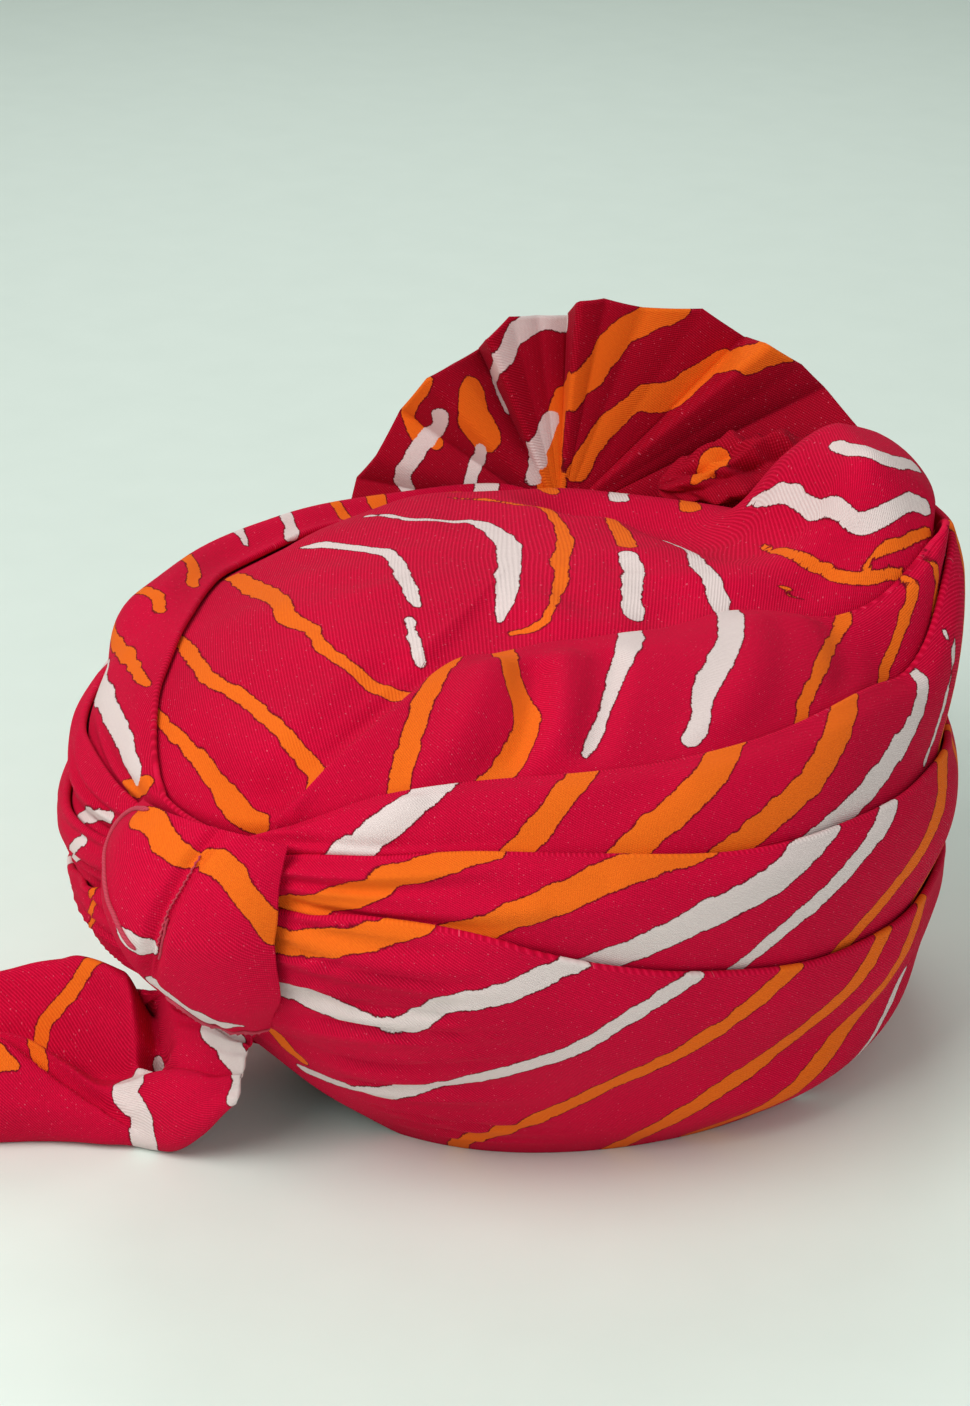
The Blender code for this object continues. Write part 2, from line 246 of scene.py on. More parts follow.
def body_normal(bearing, share):
    """The way that the outermost form faces."""
    low = np.clip(share - 0.01, 0, 0.965)
    high = np.clip(share + 0.01, 0, TOP_SHARE)
    around = body_point(bearing + 1, share) - body_point(bearing - 1, share)
    upward = body_point(bearing, high) - body_point(bearing, low)
    facing = np.cross(around, upward)
    length = np.linalg.norm(facing, axis=-1, keepdims=True)
    top = (share > TOP_SHARE)[..., None] | (length < TINY)
    return np.where(top, [0.0, 0.0, 1.0], facing / np.maximum(length, TINY))


def tucked(layer, bearing, share):
    """How deep a layer lies: under each outer wrap, and rising to its own edge."""
    depth = np.zeros_like(share)
    for outer in range(layer + 1, len(LAYERS)):
        over = wrap_edge(outer, bearing)
        ease = np.maximum(wrap_edge(outer - 1, bearing) - over, LEAST_EASE)
        if outer == 1:
            ease = np.minimum(1 - over, CROWN_EASE)
        depth += stack_depth(share) * (1 - eased((share - over) / ease))
    return depth


def hem_share(layer, bearing):
    """Where a layer starts: the outermost at the surface, and each inner one a little higher."""
    stagger = HEM_STAGGER * (len(LAYERS) - 1 - layer) / GIRTH_HEIGHT * GIRTH_SHARE
    return stagger + HEM_LIFT * mound(apart(bearing, HEM_LIFT_BEARING) / HEM_LIFT_SPREAD)


back_middle = body_point(np.array([0.0]), np.array([GIRTH_SHARE]))[0]
print("the back of the body stands at y =", round(back_middle[1], 3))

# %% [markdown]
# ## Lines on a surface
# Folds and printed stripes are both charted as short lines of points. A line is drawn onto the surface as a
# path of close points, and the distance from each corner of the cloth to that path gives the height of a
# fold or the edge of a stripe. Near the crown's top bearings turn fast, so there the points are joined on a
# flat map.

# %% Draw charted lines
FAR = 0.05


def charted(points, polar=False, steps=10):
    """Close places along a line through the charted points."""
    chart = np.array(points, float)
    if polar:
        a, r = np.radians(chart[:, 0]), 1 - chart[:, 1]
        chart = np.stack([r * np.sin(a), -r * np.cos(a)], -1)
    stops = np.arange(len(chart))
    at = np.linspace(0, len(chart) - 1, steps * (len(chart) - 1) + 1)
    walk = np.stack([curve_through(stops, chart[:, k], at) for k in (0, 1)], -1)
    if polar:
        away = np.hypot(walk[:, 0], walk[:, 1])
        walk = np.stack([np.degrees(np.arctan2(walk[:, 0], -walk[:, 1])), 1 - away], -1)
    return walk


def distance_to(path, spots, reach=None):
    """How far each spot is from a path of points, less the path's reach at its nearest point, up to FAR."""
    reach = np.zeros(len(path)) if reach is None else reach
    nearest = np.full(len(spots), FAR)
    near = np.all((spots > path.min(0) - FAR) & (spots < path.max(0) + FAR), axis=1)
    close = spots[near]
    best = np.full(len(close), FAR)
    for i, (start, end) in enumerate(zip(path, path[1:])):
        run = end - start
        share = np.clip(((close - start) @ run) / max(run @ run, TINY), 0, 1)
        away = np.linalg.norm(close - start - share[:, None] * run, axis=1)
        best = np.minimum(best, away - reach[i] - share * (reach[i + 1] - reach[i]))
    nearest[near] = best
    return nearest


# %% [markdown]
# ## Folds in the wraps
# Cotton that is pulled round a form lies in long soft folds, and gathers where the knot cinches it. The
# folds that show are charted one by one: the layer, the points along each and its width and height, with
# valleys below zero. All layers share one slow unevenness, so that none cuts through its neighbour.

# %% Chart the folds
FOLDS = (
    # layer, points (bearing, share), width, height
    (1, ((44, 0.82), (42, 0.74), (38, 0.62)), 0.011, 0.0034),
    (1, ((54, 0.80), (52, 0.72), (47, 0.65)), 0.010, -0.0036),
    (1, ((62, 0.82), (58, 0.74), (54, 0.66)), 0.010, 0.0028),
    (1, ((72, 0.80), (66, 0.74), (62, 0.68)), 0.009, -0.0022),
    (1, ((112, 0.79), (96, 0.72), (80, 0.66)), 0.012, 0.0016),
    (1, ((128, 0.76), (118, 0.68), (108, 0.62)), 0.011, -0.0020),
    (0, ((22, 0.80), (20, 0.70), (16, 0.60)), 0.014, -0.0040),
    (0, ((-4, 0.60), (6, 0.57), (16, 0.57)), 0.020, -0.0060),
    (0, ((60, 0.92), (72, 0.88), (84, 0.86)), 0.014, 0.0016),
    (0, ((120, 0.92), (110, 0.86), (100, 0.84)), 0.013, -0.0016),
    (
        0,
        ((208, 0.83), (192, 0.82), (176, 0.815), (160, 0.81), (147, 0.79), (139, 0.77), (133, 0.745)),
        0.032,
        -0.0100,
    ),
    (2, ((36, 0.60), (32, 0.56), (27, 0.53)), 0.008, 0.0016),
    (2, ((70, 0.60), (58, 0.57), (44, 0.55)), 0.010, -0.0010),
    (3, ((60, 0.47), (44, 0.47), (30, 0.46)), 0.008, -0.0012),
    (3, ((52, 0.44), (38, 0.43), (26, 0.42)), 0.007, 0.0012),
    (4, ((44, 0.37), (32, 0.36), (21, 0.35)), 0.007, 0.0014),
    (4, ((40, 0.31), (28, 0.30), (17, 0.29)), 0.007, -0.0016),
    (4, ((34, 0.20), (20, 0.20), (8, 0.20)), 0.008, -0.0016),
    (4, ((40, 0.24), (26, 0.24), (14, 0.24)), 0.008, 0.0014),
    (1, ((-128, 0.60), (-105, 0.61), (-80, 0.62), (-58, 0.60)), 0.034, 0.0070),
    (4, ((-70, 0.20), (-55, 0.17), (-42, 0.14)), 0.030, 0.0040),
)
PLUMP = 0.0016
HUG = 0.0014
GATHER_HEIGHT = 0.0011
GATHER_PITCH = 0.034
WAVER = 0.0009


def waver(bearing, share):
    """The slow unevenness that all the layers share."""
    phi = np.radians(bearing)
    long_wave = np.sin(3 * phi + 9 * share + 0.6) + 0.7 * np.sin(5 * phi - 14 * share + 2.1)
    short_wave = 0.5 * np.sin(9 * phi + 25 * share) + 0.35 * np.sin(14 * phi - 31 * share + 1.3)
    return WAVER * (long_wave + short_wave) * eased(share / 0.12) * (1 - step_between((0.88, 0.97), share))


def gathers(bearing, share):
    """Fine ridges that run out of both sides of the knot."""
    side = np.abs(apart(bearing, KNOT_BEARING))
    fade = eased((side - 10) / 8) * (1 - step_between((22, 48), side))
    level = share + 0.0011 * (side - 16) * np.sin(share * 21)
    ridges = np.sin(2 * np.pi * level / GATHER_PITCH)
    ridges += 0.5 * np.sin(2 * np.pi * level / (0.61 * GATHER_PITCH) + 1)
    return GATHER_HEIGHT * ridges * fade * eased(share / 0.08) * (1 - step_between((0.50, 0.58), share))


def relief(layer, bearing, share, spots):
    """How far a layer stands off its plain form, with its folds only where no other wrap covers it."""
    over = wrap_edge(layer + 1, bearing) if layer + 1 < len(LAYERS) else hem_share(layer, bearing)
    shown = np.clip((share - over) / np.maximum(wrap_edge(layer, bearing) - over, LEAST_EASE), 0, 1)
    height = np.zeros_like(share)
    for fold_layer, points, width, fold in FOLDS:
        if fold_layer == layer:
            walk = charted(points)
            path = body_point(walk[:, 0], walk[:, 1])
            height += fold * mound(distance_to(path, spots) / width)
    height *= eased(shown / 0.25)
    if layer:
        height *= 1 - eased((shown - 0.8) / 0.2)
        height += PLUMP * np.sin(np.pi * shown) - HUG * eased((shown - 0.80) / 0.20)
    return height + waver(bearing, share) + gathers(bearing, share)


def layer_point(layer, bearing, share, below=0.0):
    """Points of a layer's outer face, or below it."""
    spots = body_point(bearing, share)
    depth = tucked(layer, bearing, share) + below - relief(layer, bearing, share, spots)
    return spots - body_normal(bearing, share) * depth[:, None]


print(len(FOLDS), "charted folds")

# %% [markdown]
# ## A sheet of cloth
# Every cloth piece starts as a grid, and each corner is moved to its place on the form. The grid also gets
# a map in metres on the flat cloth, for the weave. Doubled corners are merged, which closes rings and the
# crown's top, and a Solidify modifier gives the sheet its thickness on the side away from the viewer.

# %% Make a sheet
made_pieces = []


def cloth_sheet(name, columns, rows, place, thickness):
    """A cloth piece: place takes shares across and along, and gives points and places on the flat cloth."""
    bm = bmesh.new()
    bmesh.ops.create_grid(bm, x_segments=columns, y_segments=rows, size=0.5)
    corners = np.array([vert.co[:2] for vert in bm.verts]) + 0.5
    spots, flat = place(corners[:, 0], corners[:, 1])
    weave = bm.loops.layers.uv.new("cloth")
    for vert, spot in zip(bm.verts, spots):
        vert.co = spot
    for face in bm.faces:
        for loop in face.loops:
            loop[weave].uv = flat[loop.vert.index]
    slivers = [face for face in bm.faces if face.calc_area() < TINY]
    bmesh.ops.delete(bm, geom=slivers, context="FACES")
    bmesh.ops.remove_doubles(bm, verts=bm.verts, dist=2e-6)
    return finished(name, bm, thickness)


def finished(name, bm, thickness=0.0):
    """A bmesh made into a smooth-shaded object, with a wall if it has a thickness."""
    mesh = bpy.data.meshes.new(name)
    bm.to_mesh(mesh)
    bm.free()
    mesh.shade_smooth()
    piece = bpy.data.objects.new(name, mesh)
    bpy.context.scene.collection.objects.link(piece)
    if thickness:
        wall = piece.modifiers.new("cloth", "SOLIDIFY")
        wall.thickness = thickness
        wall.offset = -1
    made_pieces.append(piece)
    print(name, len(mesh.polygons), "faces")
    return piece


def corners_of(piece):
    """The corners of a piece's mesh, as an array."""
    spots = np.empty(len(piece.data.vertices) * 3)
    piece.data.vertices.foreach_get("co", spots)
    return spots.reshape(-1, 3)


# %% [markdown]
# ## Shader maths
# A wire wraps one socket of a material. Python's operators on wires add Math nodes, and `add` makes any
# other node, with its settings first and the values or wires of its sockets after.


# %% Wrap a socket
class Wire:
    """One socket of a material, on which Python's operators add Math nodes."""

    def __init__(self, tree, socket=None):
        self.tree = tree
        self.socket = socket

    def add(self, kind, settings=(), sockets=(), out=0):
        """Add a node, and give the wire of one of its outputs."""
        node = self.tree.nodes.new(kind)
        for name, value in dict(settings).items():
            setattr(node, name, value)
        for key, value in dict(sockets).items():
            if isinstance(value, Wire):
                self.tree.links.new(value.socket, node.inputs[key])
            else:
                node.inputs[key].default_value = value
        return Wire(self.tree, node.outputs[out])

    def maths(self, operation, *values):
        return self.add("ShaderNodeMath", {"operation": operation}, dict(enumerate(values)))

    def __add__(self, other):
        return self.maths("ADD", self, other)

    def __sub__(self, other):
        return self.maths("SUBTRACT", self, other)

    def __rsub__(self, other):
        return self.maths("SUBTRACT", other, self)

    def __mul__(self, other):
        return self.maths("MULTIPLY", self, other)

    __radd__ = __add__
    __rmul__ = __mul__

    def between(self, start, end):
        """A soft step of this wire, from 0 at start to 1 at end."""
        settings = {"interpolation_type": "SMOOTHSTEP"}
        return self.add("ShaderNodeMapRange", settings, {0: self, 1: start, 2: end})

    def mixed(self, first, second):
        """The first colour where this wire is 0, and the second where it is 1."""
        return self.add("ShaderNodeMix", {"data_type": "RGBA"}, {0: self, 6: first, 7: second}, out=2)


def new_material(name):
    """A material with a Principled shader, and a wire to start from."""
    material = bpy.data.materials.new(name)
    material.use_nodes = True
    return material, material.node_tree.nodes["Principled BSDF"], Wire(material.node_tree)


def plug(shader, socket, value):
    """Link a wire to a shader's socket, or set a number on it."""
    if isinstance(value, Wire):
        value.tree.links.new(value.socket, shader.inputs[socket])
    else:
        shader.inputs[socket].default_value = value


# %% [markdown]
# ## Printed cotton
# The cloth is a light twill. Before it was dyed, threads were tied round it, which leaves ragged stripes
# with a dark line where the dyes meet. The stripes are not painted on points of the mesh. Each corner
# carries its distance from the nearest stripe's edge, in metres, and the shader cuts that distance off
# sharply, so the stripes stay crisp however coarse the mesh is. A little noise on the distance gives the
# ragged outline.

# %% Make the cotton
CRIMSON = (0.66, 0.001, 0.040, 1)
DEEP_CRIMSON = (0.41, 0.001, 0.023, 1)
ORANGE = (0.86, 0.17, 0.012, 1)
WHITE = (0.78, 0.66, 0.64, 1)
MAROON = (0.10, 0.002, 0.008, 1)
# Painted shade: the fan and its foot are the same cotton, given a darker red because they stand in shade.
SHADED_FAN_CRIMSON = (0.42, 0.001, 0.016, 1)
DEEP_SHADED_FAN_CRIMSON = (0.25, 0.001, 0.010, 1)
SPECK = (0.85, 0.16, 0.24, 1)
PINK = (0.80, 0.05, 0.14, 1)
DULL_WHITE = (0.62, 0.50, 0.50, 1)
DULL_ORANGE = (0.72, 0.10, 0.008, 1)
SHEEN_PINK = (1.0, 0.30, 0.45, 1)
RIB_HEIGHT = 0.00022
DYE_EDGE = (-0.0002, 0.0001)
TWILL_PITCH = 0.0010
THREAD_PITCH = 0.0005
RAGGED = 0.0030
FRAYED = 0.0009
OUTLINE = 0.0007


def noise(start, place, scale, detail=2.0):
    """Noise from about -0.5 to 0.5."""
    return start.add("ShaderNodeTexNoise", (), {"Vector": place, "Scale": scale, "Detail": detail}) - 0.5


def twill(start):
    """The height of the weave, from its diagonal ribs and its threads, and the place on the flat cloth."""
    flat = start.add("ShaderNodeUVMap", {"uv_map": "cloth"})
    along = start.add("ShaderNodeSeparateXYZ", (), {0: flat}, out="X")
    across = start.add("ShaderNodeSeparateXYZ", (), {0: flat}, out="Y")
    uneven = noise(start, flat, 260.0) * 1.6
    ribs = start.maths("SINE", (along * 0.8 + across) * (2 * math.pi / TWILL_PITCH) + uneven)
    threads = start.maths("SINE", along * (2 * math.pi / THREAD_PITCH))
    return ribs * 0.5 + threads * 0.2, flat


def make_cotton(name, deep_red, red):
    material, shader, start = new_material(name)
    solid = start.add("ShaderNodeTexCoord", out="Object")
    height, flat = twill(start)
    ragged = noise(start, solid, 150.0) * RAGGED + noise(start, solid, 1400.0) * FRAYED
    orange = start.add("ShaderNodeAttribute", {"attribute_name": "orange"}, out="Fac") + ragged
    white = start.add("ShaderNodeAttribute", {"attribute_name": "white"}, out="Fac") + ragged
    slub = noise(start, flat, 900.0, 3.0)
    cloudy = noise(start, solid, 14.0)
    dyed = (cloudy * 0.9 + slub * 0.9 + height * 0.7 + 0.5).mixed(deep_red, red)
    dyed = (height.between(0.2, 0.75) * 0.22).mixed(dyed, PINK)
    speck = noise(start, flat, 1500.0, 0.0).between(0.27, 0.31)
    dyed = (speck * 0.45).mixed(dyed, SPECK)
    pale = (height * 0.18 + slub * 0.5 + 0.55).mixed(DULL_WHITE, WHITE)
    amber = (height * 0.18 + slub * 0.6 + 0.5).mixed(DULL_ORANGE, ORANGE)
    edge = start.maths("MINIMUM", orange, white)
    colour = (1 - edge.between(0.0, OUTLINE)).mixed(dyed, MAROON)
    colour = (1 - orange.between(*DYE_EDGE)).mixed(colour, amber)
    colour = (1 - white.between(*DYE_EDGE)).mixed(colour, pale)
    plug(shader, "Base Color", colour)
    plug(shader, "Roughness", slub * 0.2 + 0.78)
    bump = start.add(
        "ShaderNodeBump", (), {"Strength": 0.55, "Distance": RIB_HEIGHT, "Height": height + slub * 0.8}
    )
    plug(shader, "Normal", bump)
    plug(shader, "Sheen Weight", 0.02)
    plug(shader, "Sheen Roughness", 0.45)
    plug(shader, "Sheen Tint", SHEEN_PINK)
    plug(shader, "Specular IOR Level", 0.05)
    return material


cotton = make_cotton("printed_cotton", DEEP_CRIMSON, CRIMSON)
# The same cotton in a darker red, painted shade, for the fan and its foot.
shaded_fan_cotton = make_cotton("painted_shade_cotton", DEEP_SHADED_FAN_CRIMSON, SHADED_FAN_CRIMSON)
print("cotton has", len(cotton.node_tree.nodes), "nodes")

# %% [markdown]
# ## The stripes
# The stripes that the photograph shows are charted as lines of a few points each, with their width. The
# points were picked on the photograph, and most were then worked out as places on the cloth. Where no
# photograph shows the cloth, the print goes on in its own rhythm: slanting stripes, two orange and one
# white.

# %% Chart the stripes on the wound cloth
STRIPE = 0.0085
CROWN_STRIPES = (
    # colour, width or widths along it in stripe widths, points (bearing, share)
    ("white", (0.2, 0.45, 0.5, 0.55, 0.6, 0.6, 0.3), ((-71, 0.786), (-70, 0.82), (-63, 0.882),
     (-54, 0.908), (-32, 0.919), (-3, 0.908), (9, 0.893))),
    ("white", (0.1, 0.35, 0.4, 0.4), ((11, 0.878), (15, 0.867), (22, 0.841), (26, 0.823))),
    ("white", (0.25, 0.35, 0.35, 0.3, 0.35), ((-92, 0.793), (-93, 0.819), (-92, 0.867), (-99, 0.889),
     (-108, 0.905))),
    ("white", (0.35, 0.6, 0.9, 0.95, 0.9, 0.7, 0.2), ((-108, 0.905), (-111, 0.922), (-116, 0.967),
     (-89, 0.996), (42, 0.967), (44, 0.93), (43, 0.905))),
    ("orange", (0.1, 0.25, 0.25, 0.35), ((-113, 0.804), (-120, 0.845), (-127, 0.871), (-138, 0.886))),
    ("orange", (0.35, 0.5, 0.5, 0.7, 0.7, 0.5, 0.4), ((-138, 0.886), (-143, 0.897), (-160, 0.937),
     (170, 0.963), (119, 0.97), (88, 0.952), (76, 0.934))),
    ("orange", (0.4, 0.35, 0.45, 0.4, 0.2), ((76, 0.934), (63, 0.897), (58, 0.889), (54, 0.889),
     (49, 0.889))),
    ("orange", (0.25, 0.5, 0.8, 0.75), ((-158, 0.85), (-170, 0.886), (175, 0.904), (150, 0.919))),
    ("white", 0.8, ((135, 0.919), (121, 0.911), (102, 0.893), (93, 0.871))),
    ("white", (0.15, 0.4, 0.75, 0.75, 0.7), ((165, 0.88), (150, 0.867), (130, 0.856), (118, 0.83),
     (113, 0.815))),
    ("orange", (0.15, 0.5, 0.6, 0.6, 0.55, 0.5, 0.5), ((155, 0.808), (141, 0.797), (133, 0.767),
     (130, 0.731), (129, 0.70), (130, 0.664), (132, 0.62))),
    ("orange", (0.2, 0.5, 0.55, 0.5), ((131, 0.675), (133, 0.657), (135, 0.625), (138, 0.580))),
    ("orange", (0.05, 0.3, 0.1), ((127, 0.779), (126, 0.764), (125, 0.742))),
    ("white", (0.1, 0.8, 0.9, 0.8, 0.9, 0.8, 0.7, 0.7), ((174, 0.767), (164, 0.779), (155, 0.771),
     (143, 0.760), (135, 0.708), (136, 0.670), (139, 0.635), (141, 0.590))),
    ("white", (0.5, 0.9, 1.0, 0.9, 0.7), ((153, 0.723), (147, 0.712), (144, 0.690), (145, 0.655),
     (149, 0.612))),
    ("orange", (0.6, 0.85, 0.8, 0.8, 0.6), ((-68, 0.69), (-50, 0.775), (-32, 0.808), (-19, 0.808),
     (-7, 0.812))),
    ("orange", (0.6, 0.5, 0.5, 0.6, 0.6), ((-7, 0.812), (3, 0.797), (11, 0.79), (19, 0.779), (28, 0.779))),
    ("orange", (0.5, 0.55, 0.6, 0.55, 0.55, 0.6), ((-50, 0.65), (-32, 0.701), (-14, 0.705), (-1, 0.705),
     (11, 0.679), (20, 0.646))),
    ("orange", (0.45, 0.5, 0.7, 0.9, 0.8), ((-21, 0.627), (-6, 0.623), (2, 0.605), (10, 0.564),
     (15, 0.55))),
    ("orange", 0.4, ((20, 0.638), (21, 0.59))),
    ("orange", 0.8, ((232, 0.62), (226, 0.70), (222, 0.76))),
    ("white", 0.8, ((215, 0.62), (210, 0.70), (206, 0.76))),
    ("orange", 0.8, ((198, 0.62), (195, 0.70), (190, 0.745))),
    ("orange", 0.7, ((250, 0.63), (246, 0.70), (243, 0.76))),
)
TOP_STRIPES = (
    ("orange", (0.8, 0.75, 0.75), ((33, 0.86), (33, 0.73), (34, 0.60))),
    ("orange", (0.8, 0.9, 1.0, 1.0, 0.9), ((46, 0.86), (50, 0.78), (52, 0.74), (50, 0.69), (45, 0.63))),
    ("white", (0.95, 0.9, 0.75, 0.5, 0.4, 0.4), ((84, 0.845), (79, 0.821), (73, 0.791), (69, 0.764),
     (66, 0.734), (61, 0.68))),
    ("white", (0.95, 0.95, 0.95, 0.9, 0.8, 0.7, 0.7), ((110, 0.805), (101, 0.776), (93, 0.752),
     (88, 0.737), (84, 0.719), (81, 0.689), (78, 0.667))),
    ("orange", 0.5, ((126, 0.69), (122, 0.689), (114, 0.686), (106, 0.67), (101, 0.655), (98, 0.637),
     (95, 0.61))),
    ("orange", 0.5, ((131, 0.634), (131, 0.613), (130, 0.604), (127, 0.607), (121, 0.604), (119, 0.598),
     (115, 0.585))),
    ("orange", 0.45, ((135, 0.595), (134, 0.565), (133, 0.538), (129, 0.522), (125, 0.532))),
    ("white", 0.25, ((139, 0.583), (139, 0.538), (140, 0.507), (138, 0.498), (133, 0.507))),
    ("orange", 0.5, ((-72, 0.60), (-66, 0.655), (-59, 0.677))),
    ("orange", 0.5, ((-60, 0.59), (-53, 0.649), (-48, 0.664))),
    ("orange", (0.5, 0.6, 0.6, 0.4), ((-60, 0.55), (-52, 0.568), (-38, 0.622), (-24, 0.643))),
    ("white", (1.2, 1.1, 1.0, 0.9, 0.8), ((-46, 0.54), (-36, 0.56), (-31, 0.574), (-18, 0.574),
     (-8, 0.545))),
    ("orange", 0.7, ((-10, 0.516), (-5, 0.538))),
    ("white", 0.5, ((-93, 0.60), (-91, 0.634), (-88, 0.66))),
    ("orange", 0.5, ((-101, 0.61), (-101, 0.637), (-101, 0.66))),
    ("white", 0.4, ((-84, 0.60), (-81, 0.64))),
)
UPPER_STRIPES = (
    ("white", 1.1, ((40, 0.65), (35, 0.58), (27, 0.51))),
    ("orange", 0.9, ((61, 0.66), (54, 0.58), (48, 0.50))),
    ("orange", 1.1, ((84, 0.65), (74, 0.58), (66, 0.53), (61, 0.48))),
    ("orange", 1.0, ((108, 0.63), (91, 0.54), (82, 0.50), (75, 0.46))),
    ("white", (0.5, 0.6, 0.9, 1.0, 1.0), ((123, 0.56), (121, 0.534), (106, 0.49), (96, 0.455), (86, 0.42))),
    ("white", 0.3, ((130, 0.526), (131, 0.509), (131, 0.497), (129, 0.481), (126, 0.465), (118, 0.42))),
    ("orange", 0.7, ((146, 0.54), (134, 0.45), (124, 0.37))),
    ("white", (0.7, 0.6, 0.5), ((-19, 0.413), (-15, 0.44), (-10, 0.457))),
    ("white", 0.8, ((-62, 0.52), (-50, 0.45), (-38, 0.38))),
)
MIDDLE_STRIPES = (
    ("orange", 1.0, ((47, 0.54), (37, 0.50), (29, 0.45), (21, 0.41))),
    ("orange", 1.1, ((74, 0.50), (61, 0.48), (50, 0.43), (40, 0.38))),
    ("white", 1.2, ((92, 0.46), (81, 0.41), (72, 0.39), (64, 0.36), (52, 0.32))),
    ("white", 0.7, ((104, 0.43), (92, 0.37), (82, 0.33), (72, 0.26))),
    ("orange", 0.9, ((124, 0.41), (108, 0.33), (97, 0.28), (86, 0.22))),
    ("orange", 0.8, ((134, 0.39), (122, 0.30), (110, 0.22))),
    ("white", 0.45, ((-22, 0.341), (-15, 0.397))),
    ("orange", 0.8, ((-54, 0.42), (-44, 0.36), (-36, 0.31))),
)
LOWER_STRIPES = (
    ("orange", 1.1, ((17, 0.365), (24, 0.375), (32, 0.395), (39, 0.425))),
    ("white", 0.9, ((15, 0.295), (22, 0.29), (28, 0.28), (34, 0.28), (41, 0.32), (47, 0.33), (60, 0.37))),
    ("white", 0.7, ((10, 0.14), (22, 0.145), (36, 0.175), (52, 0.23), (60, 0.27), (70, 0.31))),
    ("orange", 0.8, ((84, 0.28), (70, 0.21), (58, 0.16), (49, 0.11), (30, 0.03), (26, 0.0))),
    ("orange", 0.9, ((102, 0.26), (90, 0.19), (80, 0.14), (70, 0.10), (55, 0.0))),
    ("orange", 1.1, ((112, 0.24), (100, 0.16), (88, 0.09), (70, 0.0))),
    ("white", 0.5, ((112, 0.14), (104, 0.08), (92, 0.0))),
    ("orange", 0.6, ((9, 0.20), (12, 0.165))),
    ("orange", 0.3, ((-23, 0.24), (-19, 0.288), (-17, 0.32))),
    ("white", 0.7, ((-32, 0.30), (-38, 0.22), (-46, 0.14))),
)
UNSEEN = (134, 289)
UNSEEN_TOP = 250
UNSEEN_STEP = 13.0
UNSEEN_COLOURS = ("orange", "orange", "white")
UNSEEN_SHIFT = 4
UNSEEN_SWAY = 3
UNSEEN_WIDTH = 0.8
UNSEEN_UNEVEN = 0.25
STEEP_SLANT = 14
LOW_SLANT = 26
LOWEST_REACH = (0.0, 0.22)
WRAP_REACH = (0.18, 0.90)


def unseen_stripes(layer):
    """Slanting stripes for the stretch of a wrap that the photograph does not show."""
    stripes = []
    end = UNSEEN[1] if layer > 1 else UNSEEN_TOP
    count = int((end - UNSEEN[0]) / UNSEEN_STEP)
    for i in range(count + 1):
        bearing = UNSEEN[0] + i * UNSEEN_STEP + UNSEEN_SHIFT * layer
        bearing += UNSEEN_SWAY * math.sin(2.3 * i + layer)
        foot, top = LOWEST_REACH if layer == 4 else WRAP_REACH
        slant = LOW_SLANT if layer > 1 else STEEP_SLANT
        width = UNSEEN_WIDTH + UNSEEN_UNEVEN * math.sin(1.7 * i + 2 * layer)
        rows = [(bearing + slant * k / 3, foot + (top - foot) * k / 3) for k in range(4)]
        stripes.append((UNSEEN_COLOURS[(i + layer) % 3], width, tuple(rows)))
    return tuple(stripes)


def print_stripes(piece, stripes, place, polar=False, cloth=cotton):
    """Give each corner of a piece its distance from the edge of the nearest stripe of each colour."""
    spots = corners_of(piece)
    edges = {colour: np.full(len(spots), FAR) for colour in ("orange", "white")}
    for colour, width, points in stripes:
        walk = charted(points, polar)
        widths = np.atleast_1d(width) * STRIPE / 2
        reach = np.interp(np.linspace(0, 1, len(walk)), np.linspace(0, 1, len(widths)), widths)
        edges[colour] = np.minimum(edges[colour], distance_to(place(walk[:, 0], walk[:, 1]), spots, reach))
    for colour, edge in edges.items():
        piece.data.attributes.new(colour, "FLOAT", "POINT").data.foreach_set("value", edge)
    piece.data.materials.append(cloth)


charts = (CROWN_STRIPES, TOP_STRIPES, UPPER_STRIPES, MIDDLE_STRIPES, LOWER_STRIPES)
print(sum(len(chart) for chart in charts), "stripes charted")

# %% [markdown]
# ## The crown and the wraps
# A wrap's cloth is folded over at its top edge: it runs up the outside, turns over in a small round and
# goes a little way down again inside. The columns stand closer together beside the knot, where the gathers
# are fine, and the rows stand closer where the cloth shows than where another wrap covers it.

# %% Make the crown and the wraps
SHEET = 0.0007
FOLD_RADIUS = 0.0013
TURN_DOWN = 0.030
RING_COLUMNS = 430
HIDDEN_ROWS = 14
SHOWN_ROWS = {"crown": 74, "top_wrap": 40, "upper_wrap": 34, "middle_wrap": 34, "lower_wrap": 40}
FOLD_ROWS = 6
AROUND = 0.90
UPWARD = 0.27


def ring_bearing(across):
    """Bearings of the columns: closer together on the knot's side."""
    return KNOT_BEARING + 360 * across - 38 * np.sin(2 * np.pi * across)


